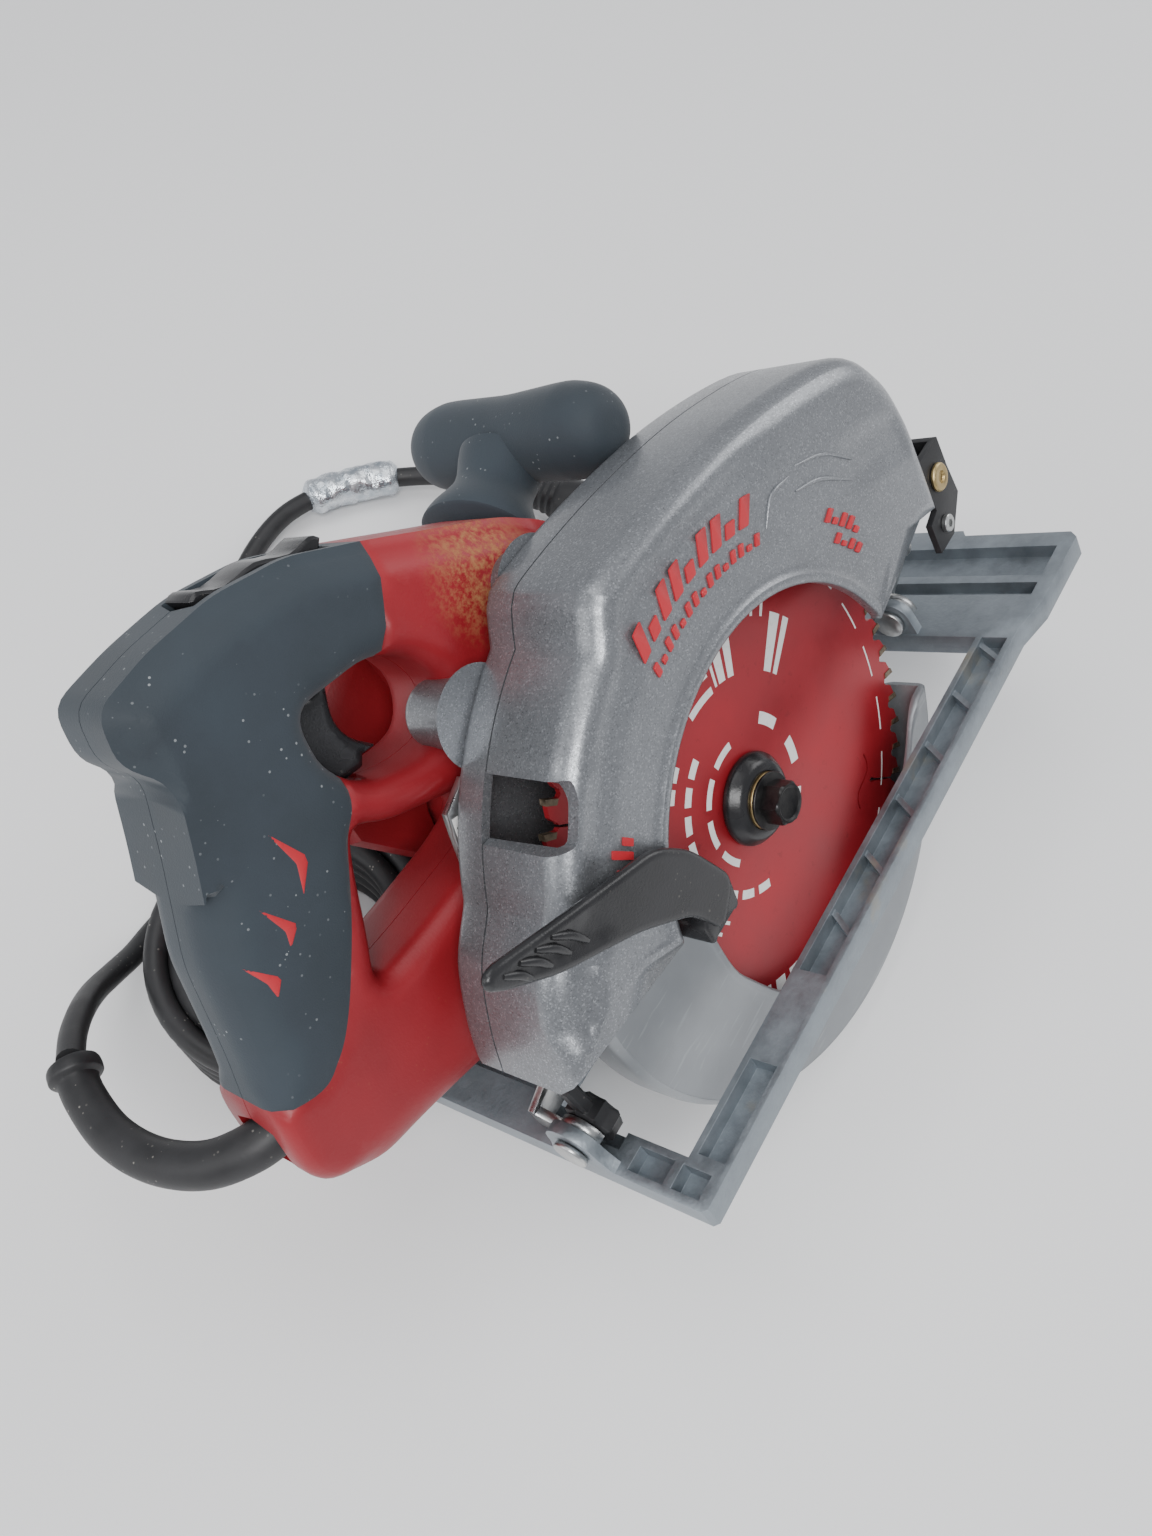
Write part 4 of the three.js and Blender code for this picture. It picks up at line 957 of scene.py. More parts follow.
def tape_wrap(tail):
    """Tape round the cord: a tube whose radius is folded by a few waves along and round it."""
    along = np.r_[0, np.cumsum(np.linalg.norm(np.diff(tail, axis=0), axis=1))]
    share = along / along[-1]
    at = np.linspace(0.665, 0.805, 46)
    path = np.column_stack([np.interp(at, share, tail[:, k]) for k in range(3)])
    points, faces = swept(path, 0.0078, 40)
    grid = points.reshape(46, 40, 3)
    t, a = np.meshgrid(np.linspace(0, 1, 46), np.linspace(0, 2 * np.pi, 40, endpoint=False),
                       indexing="ij")
    fold = (0.45 * np.sin(3 * a + 9 * t) + 0.3 * np.sin(5 * a - 26 * t + 1)
            + 0.35 * np.sin(2 * a + 40 * t + 2) * np.sin(11 * t))
    size = 1 + 0.10 * fold * np.sin(np.pi * np.clip(t * 1.02, 0, 1)) ** 0.3
    close = 1 - 0.34 * (np.clip(0.06 - t, 0, 1) + np.clip(t - 0.94, 0, 1)) / 0.06
    middle = path[:, None]
    grid = middle + (grid - middle) * (size * close)[..., None]
    return grid.reshape(-1, 3), faces


def plug_shape(start, end):
    """A moulded body that widens to its face, with grip ribs, two flat pins and an earth pin."""
    start, end = np.asarray(start), np.asarray(end)
    axis = (end - start) / np.linalg.norm(end - start)
    along = np.array([0, 0.02, 0.06, 0.12, 0.2, 0.24, 0.28, 0.32, 0.36, 0.4, 0.44, 0.5, 0.62, 0.8,
                      0.94, 0.985, 1.0, 1.0])
    radii = np.array([0.0048, 0.0066, 0.0076, 0.008, 0.0084, 0.0078, 0.0088, 0.0082, 0.0093,
                      0.0087, 0.0098, 0.0104, 0.0113, 0.0122, 0.0128, 0.0125, 0.0112, 0.0001])
    fine = np.linspace(0, 1, 60)
    path = start + (end - start) * np.interp(fine, np.linspace(0, 1, 18), along)[:, None]
    radius = np.interp(fine, np.linspace(0, 1, 18), radii)
    side = np.cross(axis, [0, 0, 1.0])
    side /= np.linalg.norm(side)
    up = np.cross(side, axis)
    a = np.linspace(0, 2 * np.pi, 32, endpoint=False)
    circle = side * np.cos(a)[:, None] + up * np.sin(a)[:, None]
    body = (path[:, None] + circle * radius[:, None, None]).reshape(-1, 3)
    shapes = [(body, net(60, 32, close_columns=True) + [list(range(32))])]
    pin_end = end + axis * 0.0165

    def blade(aside):
        corners = [(w, h) for w, h in ((-0.00075, -0.0032), (0.00075, -0.0032), (0.00075, 0.0032),
                                       (-0.00075, 0.0032))]
        rows = []
        for base, grow in ((end - axis * 0.002, 1.0), (pin_end - axis * 0.002, 1.0), (pin_end, 0.6)):
            rows += [base + side * (aside + w * grow) + up * (0.002 + h * grow) for w, h in corners]
        return np.array(rows), net(3, 4, close_columns=True) + [[8, 9, 10, 11], [3, 2, 1, 0]]

    earth_path = np.array([end - axis * 0.002, end + axis * 0.012, pin_end - axis * 0.001, pin_end])
    earth = swept(earth_path - up * 0.006, np.array([0.0024, 0.0024, 0.0018, 0.0008]), 16)
    return joined(*shapes), joined(blade(-0.0063), blade(0.0063), earth)


class SAW_OT_cord(bpy.types.Operator):
    """Mains cord with its strain relief, coil, tape wrap and plug"""
    bl_idname = "saw.cord"
    bl_label = "Cord"

    def execute(self, context):
        diameter = sizes().cord_diameter
        path = cord_route()
        cord = piece("mains_cord", swept(path, diameter / 2, 16), "saw", cord_sheath(),
                     ("cord_lead", "cord_coil", "cord_tail"), saw=False)
        tail = shifted(smooth_path(TAIL_LINE))
        wrap = piece("tape_wrap", tape_wrap(tail), "saw", silver_tape(), ("cord_tape_wrap",),
                     sharp=80, saw=False)
        ends = shifted([TAIL_LINE[-1], (0.132, 0.128, 0.0144)])
        start = ends[0] + (ends[1] - ends[0]) / np.linalg.norm(ends[1] - ends[0]) * 0.0009
        body, pins = plug_shape(start, ends[1])
        plug = piece("plug_body", body, "saw", black_plastic(), ("plug",), saw=False)
        metal = piece("plug_pins", pins, "saw", dull_brass(), (), saw=False)
        self.boot()
        return {"FINISHED"}

    def boot(self):
        """The strain relief: a thick bent sleeve with a collar where the cord leaves it."""
        path = smooth_path(BOOT_LINE, 10)
        t = np.linspace(0, 1, len(path))
        radius = BOOT_RADIUS - 0.9 * ease(t, 0.15, 0.95)
        collar = 2.0 * ease(t, 0.925, 0.945) - 0.7 * ease(t, 0.98, 1.0)
        root = 1.2 * (1 - ease(t, 0.1, 0.22))
        fine = np.linspace(0, 1, 150)
        line = np.column_stack([np.interp(fine, t, path[:, k]) for k in range(3)])
        size = np.interp(fine, t, radius) + np.interp(fine, t, collar) + np.interp(fine, t, root)
        size[-1] = 4.6
        piece("strain_relief", swept(line, size, 40), "saw", cord_sheath(),
              ("strain_relief_boot",))


# ---- Upper guard ----
COVER_FACE = -24.0
SEAM = 8.0
HOUSING_FACE = 20.0
GUARD_WALL = 3.0
CUTOUT_RADIUS = 68.0
GUARD_BOTTOM = 17.5
DISH = ((-97, 72), (-106, 58), (-112.5, 43), (-112, 31), (-104, 25.5), (-95.5, 31), (-91, 42),
        (-84, 57), (-87, 68))


def guard_rim():
    """The outer line of the fixed guard, from its rear foot over the top to its front foot."""
    rear = curve_through([(-118, GUARD_BOTTOM), (-112.5, 30), (-103, 45), (-91, 55)], 16)
    back = arc(106, 148, 110, 18)
    front = curve_through([(-33, 104.5), (-28.5, 109.5), (-20, 112), (16, 111), (59, 105), (101, 92),
                           (116, 76), (121.2, 58), (121.5, 40), (120.5, GUARD_BOTTOM)], 66)
    return np.vstack([rear, back, front])


def guard_region():
    """Rim line closed by the bottom edges and the round cut-out."""
    start = math.degrees(math.asin(GUARD_BOTTOM / CUTOUT_RADIUS))
    cutout = arc(CUTOUT_RADIUS, start, 180 - start, 90)
    return np.vstack([guard_rim(), cutout])


def raised_bars(centre_angle, span, low, high, count, slant, share, face):
    """Plain slanted bars side by side round the arbor, as raised painted marks."""
    shapes = []
    pitch = span / count
    for k in range(count):
        a = centre_angle + span / 2 - pitch * (k + 0.5)
        half = pitch * share / 2
        corners = [(low, a + half), (high, a + half - slant), (high, a - half - slant), (low, a - half)]
        if k % 3 == 1:
            corners[1] = ((low + high) / 2, a + half - slant / 2)
            corners[2] = ((low + high) / 2, a - half - slant / 2)
        flat = np.array([[r * math.cos(math.radians(t)), r * math.sin(math.radians(t))]
                         for r, t in corners])
        shapes.append(slab(softened_corners(flat, 0.35, 2), face - 0.75, face + 0.2, 0.25, spacing=4))
    return shapes


def slab(outline, y0, y1, edge, holes=(), spacing=4.0, lines=()):
    """An outline with quarter-round edges on both its sides, between y0 and y1."""
    outline = np.asarray(outline, float)
    offsets = [edge * s for s in (0.12, 0.4, 1.0)] if edge > 0.05 else []
    points, faces = spread(outline, holes, spacing, offsets, lines)
    if edge <= 0.05:
        return sheet_solid(points, faces, np.full(len(points), y1), np.full(len(points), y0))
    d = far_from(points, [outline, *holes])
    depth = rounded_edge(d, edge, edge)
    return sheet_solid(points, faces, y1 - edge + depth, y0 + edge - depth)


class SAW_OT_guard_cover(bpy.types.Operator):
    """Upper guard, right half, with its slot, dish, lip and raised marks"""
    bl_idname = "saw.guard_cover"
    bl_label = "Guard cover"

    def execute(self, context):
        rim = guard_rim()
        region = guard_region()
        slot = softened_corners([(-83, 70.5), (-84, 83), (-80, 88), (-63, 82), (-66, 77), (-74, 69)], 1.4, 4)
        slot = even_steps(slot, 1.2)
        dish = even_steps(softened_corners(DISH, 8, 6), 2.0)
        radius = sizes().guard_round / MM
        offsets = (0.35, 1.2, 2.2, 3.0, 3.1, 4.2, 6.0, 8.0, 9.5)
        points, faces = spread(region, (slot,), 2.6, offsets)
        d = far_from(points, [rim], closed=False)
        from_arbor = np.hypot(points[:, 0], points[:, 1])
        out = rounded_edge(d, radius, -COVER_FACE)
        angle = np.degrees(np.arctan2(points[:, 1], points[:, 0]))
        band = ease(angle, 58, 72) * (1 - ease(angle, 150, 160))
        out -= 1.1 * (1 - ease(d, 13.0, 15.5)) * ease(d, 4, 9) * band
        lip = ease(from_arbor, CUTOUT_RADIUS - 0.2, CUTOUT_RADIUS + 0.7)
        lip *= 1 - ease(from_arbor, CUTOUT_RADIUS + 2.6, CUTOUT_RADIUS + 4.6)
        out += 1.1 * lip
        in_dish = np.where(is_inside(points, dish), far_from(points, [dish]), 0)
        out -= 2.3 * ease(in_dish, 0.1, 1.6 + 7 * ease(points[:, 1], 40, 75))
        flute = ease(points[:, 0], 70, 100) * (1 - ease(np.abs(points[:, 1] - 62 + 0.35 *
                                                               (points[:, 0] - 95)), 5, 9))
        out -= 0.9 * flute * ease(d, 6, 11)
        inner = np.where(d < 3.05, -SEAM + 0.4, rounded_edge(d - 3, radius - 3, -COVER_FACE) - 3.0)
        inner = np.minimum(inner, out - 0.6)
        shape = sheet_solid(points, faces, -out, -inner)
        piece("guard_cover_skin", shape, "saw", silver_paint(), ("guard_cover",),
              sharp=42)
        face = COVER_FACE
        marks = raised_bars(89, 38, 90.5, 98.5, 9, 2.2, 0.62, face)
        marks += raised_bars(88, 40, 83.6, 87.0, 15, 0.6, 0.55, face)
        marks += raised_bars(40, 13, 86.0, 90.5, 5, 1.2, 0.6, face)
        marks += raised_bars(37, 11, 80.5, 84.0, 4, 1.0, 0.6, face)
        marks += raised_bars(139, 5, 82.0, 90.0, 2, 1.0, 0.6, face)
        marks += raised_bars(145.5, 6, 82.0, 88.0, 3, 0.8, 0.6, face)
        piece("guard_marks", joined(*marks), "saw", print_ink("red"), (), sharp=30)
        streaks = [self.streak([(36, 79), (44, 84.5), (54, 83.5)], 0.75),
                   self.streak([(54, 78), (66, 73), (80, 62)], 0.8),
                   self.streak([(58, 84), (72, 77.5), (84, 66.5)], 0.6)]
        piece("guard_streaks", joined(*streaks), "saw", silver_paint(), ())
        return {"FINISHED"}

    def streak(self, points, width):
        line = curve_through(points, 18)
        path = np.column_stack([line[:, 0], np.full(18, COVER_FACE), line[:, 1]])
        size = width * np.sin(np.pi * np.linspace(0.06, 0.97, 18)) ** 0.6
        return swept(path, size, 10)


HANDLE_BOSSES = (((-51, 88), 10.0, 41.0, 3.5), ((-11, 101), 9.0, 36.0, 2.5))


def case_outline(grow=0.0):
    """Round the arbor and round the motor shaft, joined by straight tangents."""
    low, high = node_box("motor_housing")
    centre = ((low[0] + high[0]) / 2, (low[2] + high[2]) / 2)
    big = (high[0] - low[0]) / 2 + grow
    small = 25.0 + grow
    apart = math.hypot(*centre)
    bearing = math.degrees(math.atan2(centre[1], centre[0]))
    tangent = math.degrees(math.acos((big - small) / apart))
    return np.vstack([arc(small, bearing + tangent, bearing - tangent + 360, 40),
                      arc(big, bearing - tangent, bearing + tangent, 40, centre)])


class SAW_OT_guard_housing(bpy.types.Operator):
    """Upper guard, left half, with the bosses that carry the handle"""
    bl_idname = "saw.guard_housing"
    bl_label = "Guard housing"

    def execute(self, context):
        rim = guard_rim()
        case = case_outline(0.3)
        points, faces = spread(guard_region_left(), (case,), 4.0, (0.4, 1.4, 3.0, 3.1))
        d = far_from(points, [rim], closed=False)
        out = rounded_edge(d, 3.2, HOUSING_FACE)
        out -= 0.8 * ease(d, 9, 10.5) * (1 - ease(d, 12.5, 14))
        inner = np.where(d < 3.05, SEAM + 0.15, HOUSING_FACE - GUARD_WALL)
        plate = sheet_solid(points, faces, out, np.minimum(inner, out - 0.4))
        bosses = []
        for centre, radius, top, fillet in HANDLE_BOSSES:
            profile = [[0.01, top], [radius, top], [radius + 0.8, HOUSING_FACE + 1.5],
                       [radius + 5, HOUSING_FACE - 1.0]]
            bosses.append(turned(fillet_profile(profile, fillet, 6), centre, 40))
            bosses.append(turned([[0.01, HOUSING_FACE - 1.2], [radius + 5, HOUSING_FACE - 1.0]],
                                 centre, 40))
        low, high = node_box("depth_pivot_pin")
        pin = ((low[0] + high[0]) / 2, (low[2] + high[2]) / 2)
        tongue = [(104, GUARD_BOTTOM + 4), (119, GUARD_BOTTOM + 6), (pin[0] + 6, pin[1] + 2),
                  *arc(7, 0, -180, 14, pin).tolist(), (104, GUARD_BOTTOM - 4)]
        hole = ring_line(3.5, 24, pin)
        low, high = node_box("depth_lock_bolt")
        clamp = ((low[0] + high[0]) / 2, (low[2] + high[2]) / 2)
        lug = [(clamp[0] - 13, GUARD_BOTTOM + 1), (clamp[0] + 14, GUARD_BOTTOM + 1),
               (clamp[0] + 8, clamp[1] - 7), (clamp[0] - 9, clamp[1] - 7)]
        extras = [slab(tongue, 10.1, 14.3, 0.4, (hole,), 6),
                  slab(softened_corners(lug, 3), 13.0, HOUSING_FACE, 0.6, (), 6)]
        piece("guard_housing_skin", joined(plate, *bosses, *extras), "saw", silver_paint(),
              ("guard_housing",), sharp=42)
        softened("gear_case", silver_paint(), 0.0008, 3)
        for k in (1, 2, 3):
            softened(f"guard_screw_{k}", black_steel(), 0.0003)
        return {"FINISHED"}


def guard_region_left():
    return np.vstack([guard_rim(), [(40, GUARD_BOTTOM), (-60, GUARD_BOTTOM)]])


# ---- Lower guard ----
LOWER_FROM, LOWER_TO = -186.0, -22.0


class SAW_OT_lower_guard(bpy.types.Operator):
    """Swinging guard with its rim, its two side plates and its lever"""
    bl_idname = "saw.lower_guard"
    bl_label = "Lower guard"

    def execute(self, context):
        shapes = [self.rim(), self.outer_plate(), self.inner_plate(), self.hub()]
        piece("lower_guard_skin", joined(*shapes), "lower_guard", grey_paint(), ("lower_guard",),
              sharp=40)
        self.lever()
        return {"FINISHED"}

    def rim(self):
        """A closed section turned about the arbor through the guard's angle."""
        section = np.array([(93.9, -12), (94.4, -12), (96.5, -9), (96.5, 2.5), (91.9, 8.8),
                            (90.1, 8.8), (90.1, 6.8), (92.4, 6.1), (93.9, 3.6)], float)
        section = softened_corners(section, 1.3, 4)
        a = np.radians(np.linspace(LOWER_FROM, LOWER_TO, 130))
        x = np.cos(a)[:, None] * section[:, 0]
        z = np.sin(a)[:, None] * section[:, 0]
        y = np.repeat(section[:, 1][None], len(a), 0)
        n = len(section)
        faces = net(len(a), n, close_columns=True)
        faces += [list(range(n)), [(len(a) - 1) * n + i for i in range(n)][::-1]]
        return np.stack([x, y, z], 2).reshape(-1, 3), faces

    def outer_plate(self):
        inner = curve_through([(86.5, -34), (77, -36), (62, -49), (44, -60.5), (20, -70), (-4, -72.5),
                               (-24, -66), (-37, -52), (-46, -32), (-49, -20), (-48, 2)], 70)
        ear = softened_corners([(-48, 2), (-46, 11), (-58, 13), (-66, 6)], 2, 4)[4:]
        outline = np.vstack([arc(94.3, LOWER_FROM, LOWER_TO, 90), inner, ear])
        points, faces = spread(even_steps(outline, 2.2), (), 5.0, (0.3, 0.9, 2.0, 2.6, 3.6))
        d = far_from(points, [inner], closed=False)
        all_round = far_from(points, [outline])
        out = 12.0 - 0.5 + rounded_edge(all_round, 0.6, 0.5)
        out += 0.9 * (1 - ease(d, 2.0, 3.4)) * ease(all_round, 0.0, 0.6)
        radius = np.hypot(points[:, 0], points[:, 1])
        out -= 0.7 * ease(radius, 78, 80) * (1 - ease(radius, 84, 86))
        return sheet_solid(points, faces, -out, np.full(len(points), -10.2))

    def inner_plate(self):
        outline = np.vstack([arc(23, LOWER_FROM, LOWER_TO, 30), arc(91.5, LOWER_TO, LOWER_FROM, 90)])
        return slab(even_steps(outline, 3.0), 6.8, 8.8, 0.4, (), 9.0)

    def hub(self):
        profile = softened_corners([(17.4, 6.8), (41, 6.8), (41, 8.8), (22, 8.8), (22, 12.8),
                                    (17.4, 12.8)], 0.5, 2)
        return turned(profile, count=64, closed=True)

    def lever(self):
        """A flat arm that widens to its root, crossed by grip ribs, on a leg to the guard."""
        outline = softened_corners([(-44, 22), (-51, 42), (-60, 53.5), (-94, 67.5), (-117, 77.5),
                                    (-120.4, 74), (-117, 69.5), (-103, 57), (-78, 41), (-62, 27),
                                    (-57, 13)], 5, 5)
        outline = even_steps(outline, 1.4)
        points, faces = spread(outline, (), 2.4, (0.2, 0.7, 1.4, 2.4))
        d = far_from(points, [outline])
        out = 29.9 + rounded_edge(d, 1.6, 1.5)
        out -= 0.8 * ease(d, 3.2, 4.4) * (1 - ease(points[:, 0], -88, -84))
        back = 29.9 - rounded_edge(d, 1.2, 1.5)
        arm = sheet_solid(points, faces, -out, -back)
        leg = slab(softened_corners([(-47, 13), (-44.6, 24), (-57, 25.3), (-61.2, 20), (-62.2, 13)], 2),
                   -30.4, -12.4, 1.0, (), 5)
        ribs = []
        for k in range(4):
            x, z = -94.5 - 5.6 * k, 61.8 + 2.3 * k
            length = 1 - 0.09 * k
            line = np.array([[x - 4.6 * length, z + 5.4 * length], [x, z - 0.1],
                             [x + 2.6 * length, z - 5.6 * length]])
            line = curve_through(line, 12)
            path = np.column_stack([line[:, 0], np.full(12, -31.1), line[:, 1]])
            ribs.append(swept(path, 1.25 * np.sin(np.pi * np.linspace(0.12, 0.88, 12)) ** 0.5, 12))
        piece("guard_lever_skin", joined(arm, leg, *ribs), "lower_guard", black_plastic(True),
              ("guard_lever",), sharp=40)


# ---- Blade ----
class SAW_OT_blade(bpy.types.Operator):
    """Blade with its teeth, tips, expansion slots and printed marks, and the arbor stack"""
    bl_idname = "saw.blade"
    bl_label = "Blade"

    def execute(self, context):
        radius = sizes().blade_radius / MM
        teeth = sizes().blade_teeth
        half = 0.9
        plate = slab(self.outline(radius, teeth), -half, half, 0.0,
                     (ring_line(7.94, 40), *self.slots()), 9.0)
        piece("blade_plate", plate, "blade", blade_coating(), ("saw_blade",), sharp=30)
        piece("blade_tips", joined(*self.tips(radius, teeth)), "blade", carbide(), (),
              sharp=30)
        piece("blade_print", joined(*self.marks(half)), "blade", print_ink("white"), (),
              sharp=30)
        self.arbor_stack()
        return {"FINISHED"}

    def outline(self, radius, teeth):
        """Tooth back, tip face and round gullet, repeated; every fifteenth gullet runs into a slit."""
        pitch = 360 / teeth
        tooth = [(radius - 0.5, 0.0), (radius - 1.4, 1.5), (radius - 2.3, 3.0), (radius - 3.4, 3.5),
                 (radius - 5.2, 3.9), (radius - 5.9, 4.6), (radius - 5.4, 5.4), (radius - 3.2, 5.7)]
        slit = [(radius - 5.9, 4.35), (radius - 17.5, 4.3), (radius - 18.6, 3.8), (radius - 19.9, 4.0),
                (radius - 20.4, 4.7), (radius - 19.9, 5.4), (radius - 18.6, 5.6), (radius - 17.5, 5.1),
                (radius - 5.9, 4.85)]
        rows = []
        for k in range(teeth):
            row = tooth if k % 15 != 7 else tooth[:5] + slit + tooth[6:]
            rows += [(r, (t + k * pitch) % 360) for r, t in row]
        r, a = np.array(rows).T
        return np.stack([r * np.cos(np.radians(a)), r * np.sin(np.radians(a))], 1)

    def slots(self):
        """Four narrow S-shaped slots that quieten the plate."""
        found = []
        for k in range(4):
            a = np.radians(np.linspace(0, 17, 20) + 90 * k + 38)
            r = 67.0 + 2.6 * np.sin(np.linspace(-1.6, 1.6, 20) * 1.9)
            line = np.stack([r * np.cos(a), r * np.sin(a)], 1)
            side = np.gradient(line, axis=0)
            side = np.stack([-side[:, 1], side[:, 0]], 1)
            side /= np.linalg.norm(side, axis=1, keepdims=True)
            found.append(np.vstack([line + side * 0.4, (line - side * 0.4)[::-1]]))
        return found

    def tips(self, radius, teeth):
        """A small block at each tooth's face, wider than the plate."""
        block = np.array([(radius - 5.0, 5.55), (radius, 5.75), (radius - 0.6, 6.9),
                          (radius - 4.6, 6.75)])
        solids = []
        for k in range(teeth):
            a = np.radians(block[:, 1] + k * 360 / teeth)
            flat = np.stack([block[:, 0] * np.cos(a), block[:, 0] * np.sin(a)], 1)
            front = np.column_stack([flat[:, 0], np.full(4, -1.25), flat[:, 1]])
            back = np.column_stack([flat[:, 0], np.full(4, 1.25), flat[:, 1]])
            faces = [[0, 1, 2, 3], [7, 6, 5, 4]] + [[i, i + 4, (i + 1) % 4 + 4, (i + 1) % 4]
                                                    for i in range(4)]
            solids.append((np.vstack([front, back]), faces))
        return solids

    def band(self, low, high, start, end, face, steps=None):
        """A flat curved band between two radii and two angles."""
        count = steps or max(2, int(abs(end - start) / 3))
        a = np.radians(np.linspace(start, end, count + 1))
        rows = [np.stack([r * np.cos(a), np.full(len(a), y), r * np.sin(a)], 1)
                for r, y in ((low, face), (high, face), (high, face - 0.06), (low, face - 0.06))]
        points = np.stack(rows, 1).reshape(-1, 3)
        n = len(a)
        return points, net(n, 4, close_columns=True) + [[3, 2, 1, 0], [4 * n - 4, 4 * n - 3,
                                                                      4 * n - 2, 4 * n - 1]]

    def marks(self, half):
        """Plain bands, bars and dots, set out in two rings."""
        face = -half
        shapes = [self.band(79.2, 79.9, a, a + 9, face) for a in range(0, 360, 15)]
        shapes += [self.band(41, 60, a, b, face) for a, b in ((62, 66), (68, 72.5), (74, 75.5),
                                                              (30, 33), (35, 40))]
        shapes += [self.band(46, 50, 78, 104, face), self.band(52, 54, 78, 100, face),
                   self.band(56, 57.2, 78, 102, face), self.band(40, 42.5, 78, 96, face)]
        shapes += [self.band(30, 33, a, a + 11, face) for a in range(110, 240, 16)]
        shapes += [self.band(50, 62, a, a + 5.5, face) for a in (112, 120, 128, 137)]
        shapes += [self.band(38, 47, a, a + 7, face) for a in (118, 128)]
        shapes += [self.band(63, 66, a, a + 2.4, face, 2) for a in range(152, 208, 4)]
        shapes += [self.band(44, 58, a, a + 4, face) for a in (150, 157, 164)]
        shapes += [self.band(40, 41.2, 172, 214, face), self.band(44, 45.2, 172, 210, face),
                   self.band(48, 49.2, 172, 206, face), self.band(54, 60, 176, 200, face)]
        shapes += [self.band(24, 28, a, a + 20, face) for a in (-60, -20, 20)]
        shapes += [self.band(58, 72, a, a + 1.2, face, 2) for a in (44, 49, 54)]
        shapes += [self.band(64, 73, a, a + 5, face) for a in range(96, 148, 8)]
        shapes += [self.band(66, 74, a, a + 4.5, face) for a in range(214, 262, 7)]
        shapes += [self.band(20, 22.5, a, a + 26, face) for a in range(80, 220, 36)]
        return shapes

    def arbor_stack(self):
        flange = fillet_profile([(9.6, -1.3), (15.4, -1.3), (15.4, -3.2), (12.6, -6.6), (10.6, -7.3),
                                 (9.6, -7.3)], 0.9, 4)
        piece("outer_flange_skin", turned(np.vstack([flange, flange[:1]]), count=72), "blade",
              black_plastic(True), ("outer_flange",))
        washer = softened_corners([(4.3, -1.4), (9.35, -1.4), (9.35, -8.3), (4.3, -8.3)], 0.5, 3)
        piece("brass_washer_skin", turned(washer, count=56, closed=True), "blade", dull_brass(),
              ("brass_washer",))
        piece("arbor_bolt_skin", self.bolt(), "blade", black_steel(), ("arbor_bolt",),
              sharp=24)
        softened("inner_flange", bright_steel(), 0.0003)
        softened("spindle", bright_steel(), 0.0003)
        softened("driven_gear", black_steel(), 0.0002, 1)

    def bolt(self):
        """Hex head: its corners are turned down by a cone, and it stands on a round collar."""
        a = np.radians(np.arange(0, 360, 3.0))
        flat = 6.3
        hexagon = flat / np.cos((a + np.pi / 6) % (np.pi / 3) - np.pi / 6)
        rows = []
        for y, limit in ((-9.2, 9.0), (-15.0, 9.0), (-15.6, 7.1), (-16.1, 6.3), (-16.2, 5.6),
                         (-15.7, 4.9), (-15.7, 0.02)):
            r = np.minimum(hexagon, limit)
            rows.append(np.stack([r * np.cos(a), np.full(len(a), y), r * np.sin(a)], 1))
        head = np.vstack(rows), net(len(rows), len(a), close_columns=True)
        collar = turned(fillet_profile([(0.02, -8.4), (9.5, -8.4), (9.5, -9.4), (0.02, -9.9)], 0.4, 3),
                        count=64)
        shank = turned([(0.02, -8.5), (3.95, -8.5), (3.95, 17.5), (0.02, 18)], count=32)
        return joined(head, collar, shank)


# ---- Rear handle ----
ARM_TOP = ((-126, 147), (-121, 160), (-103, 161), (-82, 159.5), (-60, 153), (-38, 140),
           (-15, 125.5), (2, 115))
FRONT_EDGE = ((14, 104), (16, 90), (12, 76), (0, 60))
BELOW = ((-30, 20), (-50, -2), (-105, -1), (-121, 4), (-137, 8.5))
GRIP_BACK = ((-152, 12), (-164, 21), (-168.5, 34), (-165, 50), (-157, 68), (-147, 95),
             (-131, 120), (-121, 137))
UPPER_HOLE = ((-86, 124), (-60, 119), (-49, 109), (-46, 95), (-54, 84), (-68, 86),
              (-84, 94.5), (-90, 108))
LOWER_HOLE = ((-60, 68), (-71, 74), (-86, 82), (-95, 91), (-101, 83), (-111, 66),
              (-119.5, 53), (-100, 51), (-70, 50), (-56, 52))
RUBBER_EDGE = ((-36, 156), (-36, 150), (-41, 139), (-63, 111), (-80, 110), (-92, 97), (-99, 90),
               (-118, 70), (-132, 57), (-142, 51), (-152, 50), (-172, 62))
TRIGGER_ROOM = ((-98, 126), (-62, 126), (-62, 121), (-66, 93), (-90, 91), (-98, 100))
BOOT_ROOM = ((-180, 31), (-140, 30), (-140, 48), (-180, 50))
SWITCH_ROOM = ((-90, 151), (-47.6, 137.1), (-42.3, 153.3), (-84.7, 167.1))
HANDLE_MIDDLE = 45.0
HANDLE_HALF = 18.0
CHEVRONS = (((-114.1, 112.3), (-109.9, 97.5), (-118.4, 90.9)),
            ((-128.9, 100.3), (-123.9, 87.6), (-130.2, 84.1)),
            ((-141.6, 92.5), (-136.2, 81.6), (-140.9, 78.1)))


